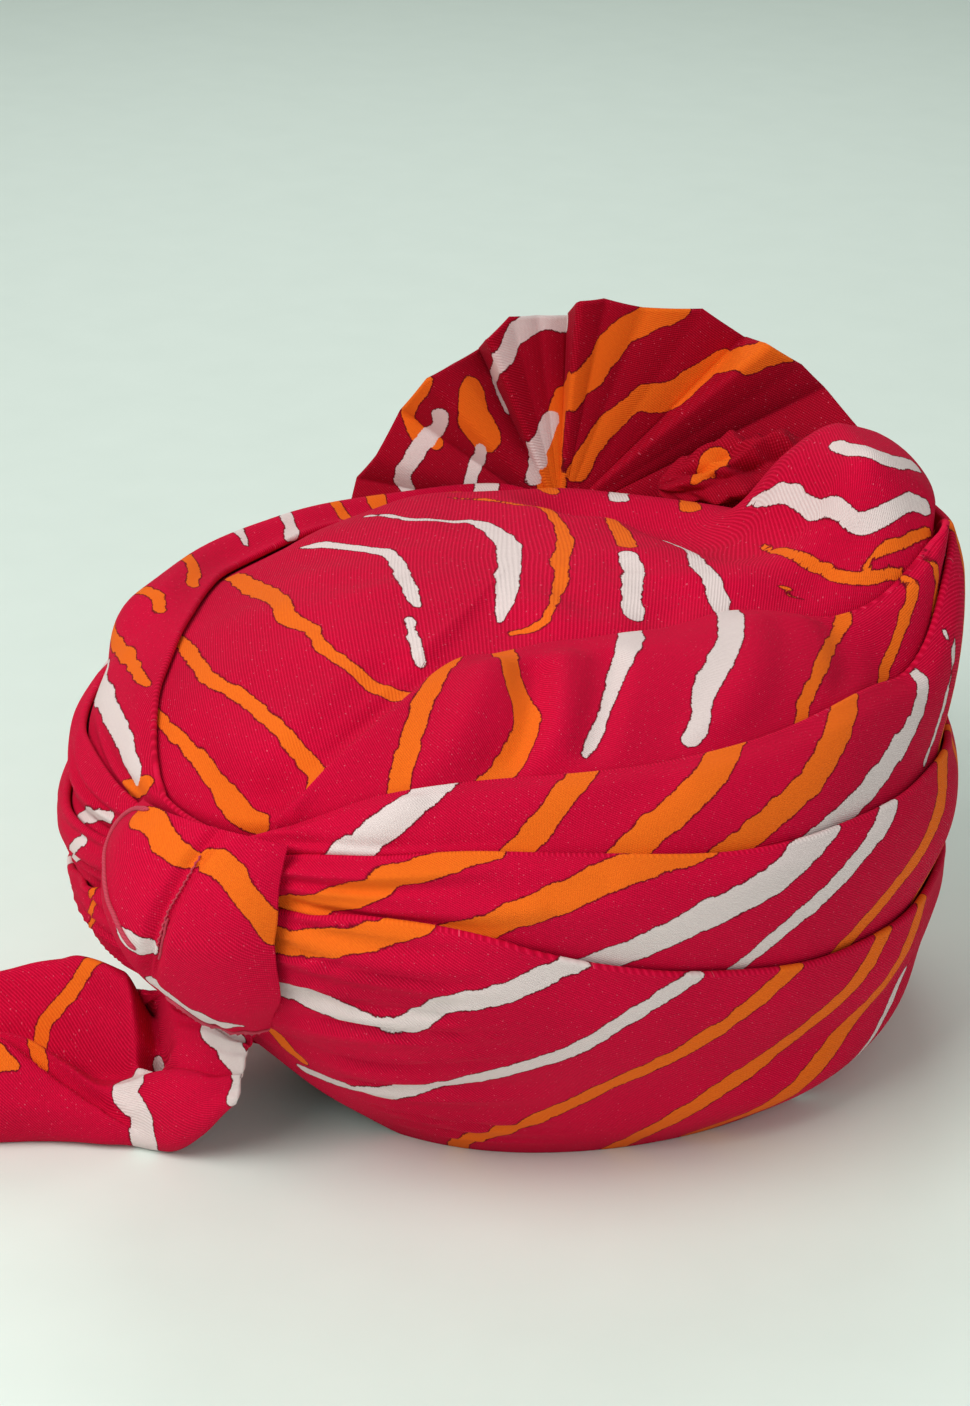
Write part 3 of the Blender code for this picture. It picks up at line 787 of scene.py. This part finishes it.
def wrap_place(layer):
    """Where the corners of a wrap lie."""
    shown = SHOWN_ROWS[LAYERS[layer]]
    fold = FOLD_ROWS if layer else 0
    rows = HIDDEN_ROWS + shown + fold

    def place(across, along):
        bearing = ring_bearing(across)
        row = along * rows
        hem, edge = hem_share(layer, bearing), wrap_edge(layer, bearing)
        over = wrap_edge(layer + 1, bearing) - 0.03 if layer + 1 < len(LAYERS) else hem + 0.04
        over = np.maximum(over, hem + 0.01)
        low = hem + (over - hem) * np.clip(row / HIDDEN_ROWS, 0, 1)
        share = low + (edge - over) * np.clip((row - HIDDEN_ROWS) / shown, 0, 1)
        turn = np.clip((row - HIDDEN_ROWS - shown) / max(fold - 1, 1), 0, 1) * np.pi
        down = np.where(row > rows - 0.5, TURN_DOWN, 0.0) if fold else 0.0
        raised = FOLD_RADIUS * np.sin(turn)
        below = FOLD_RADIUS * (1 - np.cos(turn))
        spots = layer_point(layer, bearing, share - down, below)
        spots += upward_of(bearing, share) * raised[:, None]
        if layer:
            flat = np.stack([np.radians(bearing) / (2 * np.pi) * AROUND, share * UPWARD], -1)
        else:
            phi = np.radians(bearing)
            flat = np.stack([np.sin(phi), -np.cos(phi)], -1) * ((1 - share) * UPWARD)[:, None]
        return spots, flat

    return place, rows


def upward_of(bearing, share):
    """The way up along the body's surface."""
    high = np.clip(share + 0.005, 0, TOP_SHARE)
    run = body_point(bearing, high) - body_point(bearing, np.clip(share - 0.005, 0, 0.97))
    return run / np.maximum(np.linalg.norm(run, axis=-1, keepdims=True), TINY)


STRIPES = {
    "crown": CROWN_STRIPES,
    "top_wrap": TOP_STRIPES + unseen_stripes(1),
    "upper_wrap": UPPER_STRIPES + unseen_stripes(2),
    "middle_wrap": MIDDLE_STRIPES + unseen_stripes(3),
    "lower_wrap": LOWER_STRIPES + unseen_stripes(4),
}
wound = {}
for layer, name in enumerate(LAYERS):
    place, rows = wrap_place(layer)
    piece = cloth_sheet(name + "_cloth", RING_COLUMNS, rows, place, SHEET)

    def on_cloth(bearing, share, layer=layer):
        return layer_point(layer, bearing, np.clip(share, 0, 1))

    print_stripes(piece, STRIPES[name], on_cloth, polar=layer == 0)
    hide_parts(name)
    wound[name] = piece

# %% [markdown]
# ## The knot
# A seamed band of the same cloth bulges over the cinched wraps. Its outline is given by its two side edges
# at a few heights. A seam runs down it in a groove, its left panel puffs a little more than its right, and
# fine gathers run up from the thread that ties its foot.

# %% Make the knot
KNOT_CLOTH = 0.0022
KNOT_PUFF = 0.0095
KNOT_WIDTH = 0.070
KNOT_HEIGHT = 0.100
KNOT_OUTLINE = (
    # share, left, right
    (0.222, -3.5, 11.5),
    (0.258, -5.0, 15.0),
    (0.295, -6.5, 18.5),
    (0.345, -8.0, 20.5),
    (0.400, -7.5, 22.0),
    (0.460, -6.0, 22.0),
    (0.520, -2.5, 22.0),
)
KNOT_SEAM = (
    # up, across
    (0.00, 0.20),
    (0.25, 0.30),
    (0.40, 0.39),
    (0.52, 0.477),
    (0.59, 0.527),
    (0.63, 0.558),
    (0.70, 0.578),
    (0.76, 0.607),
    (0.83, 0.633),
    (0.92, 0.662),
    (1.00, 0.685),
)
SEAM_DEPTH = 0.0030
SEAM_WIDTH = 0.0050
WELT = 0.0014
WELT_WIDTH = 0.0016
LEFT_PUFF = 0.0014
KNOT_GATHER = 0.0010
KNOT_STRIPES = (
    # colour, width, points (across, up)
    ("orange", (0.9, 1.0, 1.0, 0.9, 0.6), ((0.205, 0.941), (0.331, 0.954), (0.452, 0.912), (0.577, 0.887),
     (0.620, 0.874))),
    ("orange", (0.7, 1.0, 1.0, 0.9, 0.95, 1.1), ((0.700, 0.875), (0.728, 0.888), (0.816, 0.866),
     (0.891, 0.795), (0.954, 0.724), (1.0, 0.65))),
    ("white", 1.0, ((0.400, 0.400), (0.500, 0.350), (0.577, 0.280), (0.640, 0.220))),
    ("white", (1.0, 0.9, 0.6, 0.2), ((0.600, 0.300), (0.660, 0.250), (0.740, 0.190), (0.830, 0.155))),
    ("white", 0.9, ((0.390, 0.600), (0.450, 0.598), (0.480, 0.590))),
)


def seam_at(up):
    """Where the knot's seam lies across its band."""
    ups, places = zip(*KNOT_SEAM)
    return curve_through(ups, places, up)


def knot_point(across, up, above=0.0):
    """Points on the knot's outer face."""
    levels = np.linspace(0, 1, len(KNOT_OUTLINE))
    share, left, right = curve_columns(levels, KNOT_OUTLINE, np.clip(up, 0, 1))
    bearing = left + (right - left) * across
    full = 1 - np.abs(2 * np.clip(across, 0, 1) - 1) ** 2.6
    full *= 0.22 + 0.78 * np.sin(np.pi * (0.06 + 0.80 * up))
    from_seam = (across - seam_at(up)) * KNOT_WIDTH
    stand = SEAT_GAP + KNOT_CLOTH + (KNOT_PUFF + KNOT_CINCH) * full
    sewn = step_between((0.38, 0.54), up)
    stand += full * LEFT_PUFF * eased(-from_seam / 0.008)
    stand -= full * sewn * (SEAM_DEPTH * mound(from_seam / SEAM_WIDTH) - WELT * mound(from_seam / WELT_WIDTH))
    pleats = np.sin(2 * np.pi * (7 * across + 1.2 * up)) * mound((up - 0.05) / 0.30)
    pleats += 0.6 * np.sin(2 * np.pi * (5 * across - 0.8 * up) + 1) * mound((up - 1.0) / 0.25)
    stand += full * (KNOT_GATHER * pleats + 0.0008 * np.sin(9 * across + 7 * up))
    return body_point(bearing, share) + body_normal(bearing, share) * (stand + above)[:, None]


def knot_place(across, up):
    return knot_point(across, up), np.stack([across * KNOT_WIDTH, up * KNOT_HEIGHT], -1)


knot = cloth_sheet("knot_cloth", 170, 180, knot_place, KNOT_CLOTH)
print_stripes(knot, KNOT_STRIPES, knot_point)
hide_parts("knot")

# %% [markdown]
# ## The sewing
# A corded edge runs down the knot's left side, a line of stitches closes its seam and two threads tie its
# foot. Each is a thin round thread that lies on the cloth along charted points, and a stitched one dips
# under it again and again.

# %% Sew the knot
THREAD_STEPS = 40
STITCH_DIP = 0.0004
THREAD_RED = (0.62, 0.06, 0.11, 1)
DEEP_THREAD_RED = (0.30, 0.002, 0.02, 1)
STRAND_HEIGHT = 0.0001
THREAD_LENGTH = 0.08
THREAD_ROUND = 0.004
SEWING = (
    # points (across, up), radius, stitches
    (
        ((0.22, 0.985), (0.08, 0.955), (0.015, 0.90), (0.01, 0.83), (0.06, 0.778), (0.17, 0.741),
         (0.27, 0.665), (0.35, 0.628), (0.45, 0.585)),
        0.00085,
        0,
    ),
    (((0.655, 0.90), (0.640, 0.83), (0.614, 0.76), (0.584, 0.70), (0.564, 0.63), (0.533, 0.59)), 0.0004, 15),
    (((0.582, 0.67), (0.570, 0.62), (0.545, 0.585), (0.515, 0.545)), 0.00050, 0),
    (
        ((0.42, 0.36), (0.51, 0.31), (0.575, 0.19), (0.70, 0.10), (0.82, 0.06), (0.93, 0.02), (1.0, 0.005)),
        0.0007,
        0,
    ),
    (((0.46, 0.32), (0.53, 0.26), (0.59, 0.16), (0.72, 0.075), (0.84, 0.03), (0.97, 0.005)), 0.0006, 12),
)


def make_thread():
    material, shader, start = new_material("sewing_thread")
    height, flat = twill(start)
    plug(shader, "Base Color", (height * 0.3 + 0.5).mixed(DEEP_THREAD_RED, THREAD_RED))
    plug(shader, "Roughness", 0.75)
    bump = start.add("ShaderNodeBump", (), {"Strength": 0.5, "Distance": STRAND_HEIGHT, "Height": height})
    plug(shader, "Normal", bump)
    return material


def thread_place(points, radius, stitches):
    """Where the corners of a thread on the knot lie, and the number of its columns."""
    walk = charted(points, steps=THREAD_STEPS)
    share = np.linspace(0, 1, len(walk))
    core = knot_point(walk[:, 0], walk[:, 1])
    facing = (knot_point(walk[:, 0], walk[:, 1], 0.001) - core) * 1000
    dip = STITCH_DIP * (stitches > 0) * np.sin(2 * np.pi * stitches * share)
    core += facing * (radius * 0.5 + dip)[:, None]
    run = np.gradient(core, axis=0)
    side = np.cross(run / np.linalg.norm(run, axis=1, keepdims=True), facing)
    thick = radius * np.sqrt(np.clip(np.sin(np.pi * share) * 12, 0, 1))

    def place(along, turn):
        i = np.rint(along * (len(walk) - 1)).astype(int)
        a = 2 * np.pi * turn[:, None]
        spots = core[i] + thick[i, None] * (np.cos(a) * facing[i] + np.sin(a) * side[i])
        return spots, np.stack([along * THREAD_LENGTH, turn * THREAD_ROUND], -1)

    return place, len(walk) - 1


sewing_thread = make_thread()
threads = []
for points, radius, stitches in SEWING:
    place, columns = thread_place(points, radius, stitches)
    piece = cloth_sheet("thread_" + str(len(threads)), columns, 8, place, 0)
    piece.data.materials.append(sewing_thread)
    threads.append(piece)

# %% [markdown]
# ## The tail
# The free end falls from under the knot and lies along the surface in two long folds. A short table gives
# the outline and the heights of the folds at a few places along it, and a section is drawn through each.

# %% Make the tail
TAIL_LENGTH = 0.130
TAIL_START = 0.101
TAIL_HEADING = 316
TAIL_HEIGHT = 0.055
TAIL_DEPTH = 0.100
TAIL_CLOTH = 0.0012
TAIL_FOLDS = (
    # side, back, front, far, under, crest, valley, lip
    (0.00, 1.19, 1.22, 1.00, 0.62, 0.90, 0.82, 0.76),
    (0.05, 1.13, 1.17, 1.00, 0.53, 0.88, 0.78, 0.70),
    (0.10, 1.07, 1.14, 1.00, 0.42, 0.87, 0.74, 0.64),
    (0.17, 0.99, 1.10, 0.99, 0.19, 0.87, 0.72, 0.56),
    (0.24, 0.87, 1.06, 0.96, 0.04, 0.86, 0.68, 0.52),
    (0.30, 0.76, 1.02, 0.80, 0.00, 0.90, 0.56, 0.46),
    (0.36, 0.64, 0.99, 0.56, 0.00, 0.92, 0.38, 0.36),
    (0.43, 0.51, 0.98, 0.30, 0.00, 0.90, 0.28, 0.30),
    (0.51, 0.40, 0.97, 0.12, 0.00, 0.86, 0.24, 0.42),
    (0.61, 0.31, 0.97, 0.00, 0.00, 0.78, 0.24, 0.60),
    (0.72, 0.26, 0.98, 0.00, 0.00, 0.68, 0.26, 0.66),
    (0.86, 0.24, 0.98, 0.00, 0.00, 0.62, 0.28, 0.60),
    (1.00, 0.24, 0.97, 0.00, 0.00, 0.54, 0.26, 0.54),
)
TAIL_WIDTH = 0.135
TAIL_CREASE = 0.0005
TAIL_TRIM = (0.03, 0.06)
TAIL_RELIEF = (
    # points (along, across), width, height
    (((0.325, 0.16), (0.314, 0.222), (0.297, 0.326), (0.288, 0.44)), 0.0085, -0.0210),
    (((0.288, 0.44), (0.280, 0.54)), 0.0080, -0.0080),
    (((0.500, 0.285), (0.427, 0.301), (0.368, 0.331), (0.330, 0.400), (0.322, 0.470)), 0.0080, 0.0030),
    (((0.150, 0.36), (0.190, 0.52), (0.230, 0.70)), 0.0240, 0.0060),
    (((0.470, 0.42), (0.450, 0.58)), 0.0260, 0.0050),
    (((0.090, 0.25), (0.110, 0.42), (0.130, 0.60)), 0.0080, -0.0024),
)
FRONT_EDGE = (
    # along, across
    (0.28, 0.90),
    (0.33, 0.79),
    (0.43, 0.685),
    (0.53, 0.675),
    (0.60, 0.665),
    (0.67, 0.635),
    (0.85, 0.60),
    (1.00, 0.58),
)
FRONT_STEP = 0.0036
TAIL_STRIPES = (
    # colour, width, points (along, across)
    ("orange", (0.7, 0.65, 0.65, 0.6, 0.65, 0.6), ((0.42, 0.24), (0.494, 0.326), (0.548, 0.364),
     (0.598, 0.400), (0.605, 0.50), (0.575, 0.665))),
    ("orange", (1.7, 1.5, 0.9, 0.3), ((0.80, 0.665), (0.73, 0.675), (0.67, 0.685), (0.63, 0.69))),
    ("white", 0.5, ((0.290, 0.40), (0.275, 0.48))),
    ("white", 1.1, ((0.295, 0.53), (0.335, 0.56), (0.360, 0.62), (0.360, 0.68), (0.326, 0.74),
     (0.318, 0.88))),
    ("white", 1.2, ((0.130, 0.26), (0.095, 0.36), (0.080, 0.48))),
    ("white", 0.7, ((0.080, 0.48), (0.065, 0.68), (0.084, 0.80))),
)


def tail_section(back, front, far, under, crest, valley, lip):
    """The tail's line across, from its far foot over both folds to the edge tucked under its near side."""
    wide = front - back
    return (
        (back, far),
        (back + 0.07 * wide, far * 0.6 + crest * 0.4),
        (back + 0.17 * wide, far * 0.25 + crest * 0.75),
        (back + 0.32 * wide, crest),
        (back + 0.46 * wide, crest * 0.6 + valley * 0.4),
        (back + 0.60 * wide, valley),
        (back + 0.76 * wide, valley * 0.15 + lip * 0.85),
        (back + 0.88 * wide, lip),
        (front, under + 0.62 * (lip - under)),
        (front + 0.01, under + 0.22 * (lip - under)),
        (front - 0.04, under),
        (front - 0.09, under),
    )


def tail_point(along, across):
    """Points on the tail's upper face."""
    sides = [row[0] for row in TAIL_FOLDS]
    line = tail_section(*curve_columns(sides, [row[1:] for row in TAIL_FOLDS], along))
    stops = np.linspace(0, 1, len(line))
    depth, height = (
        np.array([curve_through(stops, [point[k][i] for point in line], x) for i, x in enumerate(across)])
        for k in (0, 1)
    )
    heading = np.array(toward(TAIL_HEADING))
    out = np.array([-heading[1], heading[0], 0.0])
    creases = np.sin(38 * across + 9 * along + 3 * np.sin(7 * along)) + 0.6 * np.sin(61 * across - 13 * along)
    up = TAIL_HEIGHT * height
    stand = (tail_relief(along, across) + TAIL_CREASE * creases) * eased(up / 0.016)
    spots = heading * (TAIL_START + TAIL_LENGTH * along)[:, None]
    spots += out * (TAIL_DEPTH * depth + 0.5 * stand)[:, None]
    spots[:, 2] += np.maximum(up + 0.8 * stand, TAIL_CLOTH * 0.2)
    return spots


def tail_relief(along, across):
    """How far the charted folds lift the tail, and the step where its front layer overlaps."""
    flat = np.stack([along * TAIL_LENGTH, across * TAIL_WIDTH], -1)
    height = np.zeros_like(along)
    for points, width, fold in TAIL_RELIEF:
        path = charted(points) * [TAIL_LENGTH, TAIL_WIDTH]
        height += fold * mound(distance_to(path, flat) / width)
    alongs, edges = zip(*FRONT_EDGE)
    past = (across - np.interp(along, alongs, edges)) * TAIL_WIDTH
    fade = eased((along - 0.29) / 0.10)
    height += fade * (FRONT_STEP * eased(past / 0.0016 + 0.5) - 0.0030 * mound((past + 0.003) / 0.006))
    return height


def tail_place(along, across):
    start = TAIL_TRIM[0] + TAIL_TRIM[1] * across
    along = start + (1 - start) * along
    return tail_point(along, across), np.stack([along * TAIL_LENGTH, across * TAIL_WIDTH], -1)


tail = cloth_sheet("tail_cloth", 170, 170, tail_place, TAIL_CLOTH)
print_stripes(tail, TAIL_STRIPES, tail_point)
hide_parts("tail")

# %% [markdown]
# ## The fan
# Starched cloth is folded into pleats and opened like a hand fan. The table gives each fold's angle, how
# far it stands forward and how far it reaches, so that the rim steps where one pleat overlaps the next.
# Between two folds the cloth is nearly flat, with a soft belly.

# %% Make the fan
FAN_RADIUS = 0.088
FAN_GATHER = 0.05
FAN_PLEAT_DEPTH = 0.0085
FAN_LEAN = 4
FAN_FACING = 46
FAN_BEARING = 229
FAN_REACH = 0.124
FAN_FOOT_HEIGHT = 0.132
FAN_CLOTH = 0.0010
FAN_FOLDS = (
    # angle, forward, reach
    (6, -0.1, 1.25),
    (17, 0.3, 1.29),
    (27, -0.5, 1.21),
    (34, 0.3, 1.18),
    (42, 1.0, 1.13),
    (44.5, -0.9, 1.06),
    (57, -0.2, 1.05),
    (70, 0.3, 0.955),
    (80, 0.8, 0.96),
    (85.8, 1.4, 0.95),
    (88, -0.8, 0.84),
    (97, -0.2, 0.86),
    (104, 0.5, 0.89),
    (110.5, 1.3, 0.85),
    (116, -1.6, 0.76),
    (124, 0.4, 0.80),
    (131.5, 1.1, 0.83),
    (146, -0.5, 0.80),
    (160, 0.3, 0.81),
    (169, -0.4, 0.86),
    (178, 0.1, 0.88),
)
FAN_COLUMNS = 9
FAN_ROWS = 60
FAN_STRIPES = (
    # colour, width, points (angle, out)
    ("orange", 1.25, ((63, 1.01), (65, 0.99), (73, 0.87), (80, 0.64), (88, 0.55), (96, 0.37), (107, 0.12))),
    ("orange", 1.3, ((39, 1.03), (40, 1.01), (46, 0.78), (49, 0.63), (57, 0.56))),
    ("orange", 0.9, ((57, 0.56), (62, 0.48), (66, 0.39), (71, 0.18))),
    ("orange", 0.7, ((133, 1.0), (144, 0.96), (149, 0.84), (148, 0.75))),
    ("orange", 1.3, ((124, 0.81), (129, 0.68), (131, 0.54))),
    ("white", 0.7, ((137, 0.82), (142, 0.78), (153, 0.81), (163, 0.82), (169, 0.74))),
    ("white", 0.55, ((136, 0.53), (140, 0.51), (152, 0.49), (160, 0.48))),
    ("white", 1.0, ((88, 0.97), (97, 0.98), (108, 0.87))),
    ("white", 0.6, ((108, 0.87), (116, 0.79), (117, 0.63))),
    ("white", 0.9, ((97, 0.46), (102, 0.38), (112, 0.3), (121, 0.24))),
)


def fan_axes():
    """The fan's right, its upward lean and the way that it faces."""
    level, right = toward(FAN_FACING), toward(FAN_FACING + 90)
    lean = math.radians(FAN_LEAN)
    up = Vector((0, 0, math.cos(lean))) - level * math.sin(lean)
    return np.array(right), np.array(up), np.array(right.cross(up))


fan_right, fan_up, fan_facing = fan_axes()
fan_middle = np.array(toward(FAN_BEARING) * FAN_REACH) + np.array([0, 0, FAN_FOOT_HEIGHT])


def fan_point(angle, out):
    """Points on the fan by angle and share of the way out, straight between folds but for a soft belly."""
    angles, forwards, reaches = np.array(FAN_FOLDS).T
    stops = np.interp(angle, angles, np.arange(len(angles)))
    rim = FAN_RADIUS * np.stack([reaches * np.cos(np.radians(angles)), reaches * np.sin(np.radians(angles))])
    aside, high = [np.interp(stops, np.arange(len(angles)), line) for line in rim]
    share = FAN_GATHER + (1 - FAN_GATHER) * out
    belly = 0.12 * np.sin(np.pi * (stops % 1)) * np.interp(angle, angles[1:], np.diff(angles)) / 12
    stand = FAN_PLEAT_DEPTH * (np.interp(angle, angles, forwards) * np.clip(out, 0, 1.2) ** 1.2 + belly * out)
    spots = fan_middle + np.outer(aside * share, fan_right) + np.outer(high * share, fan_up)
    return spots + np.outer(stand, fan_facing)


def fan_place(across, out):
    angles = [row[0] for row in FAN_FOLDS]
    angle = np.interp(across * (len(angles) - 1), range(len(angles)), angles)
    radius = FAN_RADIUS * out
    turn = np.radians(angle)
    return fan_point(angle, out), np.stack([np.cos(turn) * radius, np.sin(turn) * radius], -1)


fan = cloth_sheet("fan_cloth", (len(FAN_FOLDS) - 1) * FAN_COLUMNS, FAN_ROWS, fan_place, FAN_CLOTH)
# The fan takes the darker cotton: painted shade.
print_stripes(fan, FAN_STRIPES, fan_point, cloth=shaded_fan_cotton)
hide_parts("fan")

# %% [markdown]
# ## The gathered foot of the fan
# The pleats are sewn to a bunch of crumpled cloth, which runs from the middle of the fan to the roll. It is
# a sheet rolled round its length, with twisting ridges of different heights.

# %% Make the foot
FOOT_LENGTH = 0.066
FOOT_HEIGHT = 0.028
FOOT_RIGHT = 0.034
FOOT_FORWARD = 0.023
FOOT_LIFT = 0.018
FOOT_RISE = 0.008
FOOT_ROUND = 0.08
FOOT_STRIPES = (("orange", (1.3, 1.1, 0.8, 0.1), ((0.175, 0.31), (0.15, 0.28), (0.10, 0.23), (0.05, 0.18))),)


def crease(angle):
    """A wave of sharp creases, from -1 to 1."""
    return np.arcsin(np.sin(angle)) * 2 / np.pi


def foot_point(turn, along):
    """Points on the gathered foot."""
    start = fan_middle + fan_right * FOOT_RIGHT + fan_facing * FOOT_FORWARD + fan_up * FOOT_LIFT
    a = 2 * np.pi * turn
    ridge = 1 + 0.26 * crease(4 * a + 5 * along) + 0.20 * crease(7 * a - 13 * along + 1)
    ridge += 0.12 * crease(5 * a + 31 * along) + 0.06 * crease(15 * a + 17 * along)
    full = np.sqrt(np.sin(np.pi * np.clip(along, 0, 1)))
    radius = FOOT_HEIGHT / 2 * full * ridge * (0.8 + 0.3 * along)
    middle = start + np.outer(along * FOOT_LENGTH, fan_right) + np.outer(along * FOOT_RISE, fan_up)
    return middle + radius[:, None] * (np.cos(a)[:, None] * fan_facing + np.sin(a)[:, None] * fan_up)


def foot_place(turn, along):
    return foot_point(turn, along), np.stack([turn * FOOT_ROUND, along * FOOT_LENGTH], -1)


foot = cloth_sheet("fan_foot_cloth", 120, 90, foot_place, 0)
# The foot takes the darker cotton too: painted shade.
print_stripes(foot, FOOT_STRIPES, foot_point, cloth=shaded_fan_cotton)
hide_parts("fan_foot")

# %% [markdown]
# ## Floor and light
# The turban stands on a plain pale floor. One large soft light hangs high on the left, a weaker one fills
# in from the right, a third lights the far side, and a pale world keeps the shadows open.

# %% Set the floor and the lights
FLOOR_HALF = 5.0
LIGHTS = (
    # name, bearing, rise, distance, size, power, colour
    ("key", 2, 46, 1.6, 1.0, 21, (1.0, 0.98, 0.95)),
    ("fill", 75, 22, 1.9, 1.4, 8, (0.96, 0.98, 1.0)),
    ("back", 230, 45, 1.8, 1.0, 8, (1.0, 1.0, 1.0)),
)
bm = bmesh.new()
bmesh.ops.create_grid(bm, x_segments=1, y_segments=1, size=FLOOR_HALF)
floor = finished("floor", bm)
made_pieces.remove(floor)
floor_paint, floor_shader, floor_start = new_material("pale_floor")
grain = noise(floor_start, floor_start.add("ShaderNodeTexCoord", out="Object"), 30.0, 4.0)
plug(floor_shader, "Base Color", (grain * 0.6 + 0.5).mixed((0.71, 0.80, 0.75, 1), (0.78, 0.87, 0.82, 1)))
plug(floor_shader, "Roughness", 0.7)
floor.data.materials.append(floor_paint)
for name, bearing, rise, distance, size, power, colour in LIGHTS:
    lamp = bpy.data.lights.new(name, "AREA")
    lamp.size = size
    lamp.energy = power
    lamp.color = colour
    holder = bpy.data.objects.new(name, lamp)
    bpy.context.scene.collection.objects.link(holder)
    holder.location = aim + toward(bearing, rise) * distance
    holder.rotation_euler = (aim - holder.location).to_track_quat("-Z", "Y").to_euler()
world = bpy.data.worlds.new("studio")
world.use_nodes = True
world.node_tree.nodes["Background"].inputs["Color"].default_value = (0.84, 0.94, 0.86, 1)
world.node_tree.nodes["Background"].inputs["Strength"].default_value = 0.38
bpy.context.scene.world = world
bpy.context.scene.view_settings.view_transform = "Standard"

# %% [markdown]
# ## The pieces on one body
# Every piece rides on the one body, and each piece's area is printed beside the size it was cut to.

# %% Attach the pieces and print their areas
SHEETS = (
    # piece, width, length, held, rests on
    (wound["crown"], 0.44, 0.44, "stretched", ()),
    (wound["top_wrap"], 0.21, 0.80, "folded", ("crown_cloth",)),
    (wound["upper_wrap"], 0.17, 0.80, "folded", ("top_wrap_cloth",)),
    (wound["middle_wrap"], 0.14, 0.80, "folded", ("upper_wrap_cloth",)),
    (wound["lower_wrap"], 0.10, 0.80, "folded", ("middle_wrap_cloth",)),
    (knot, 0.08, 0.10, "gathered", ("lower_wrap_cloth",)),
    (tail, 0.13, 0.135, "laid", ()),
    (fan, 0.09, 0.15, "folded", ("fan_foot_cloth",)),
    (foot, 0.058, 0.06, "gathered", ("top_wrap_cloth",)),
)
for piece in made_pieces:
    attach(piece, "root")
for piece, width, length, held, under in SHEETS:
    area = sum(face.area for face in piece.data.polygons)
    print(piece.name, "covers", round(area, 4), "of", round(width * length, 4), "square metres")
bpy.context.view_layer.update()
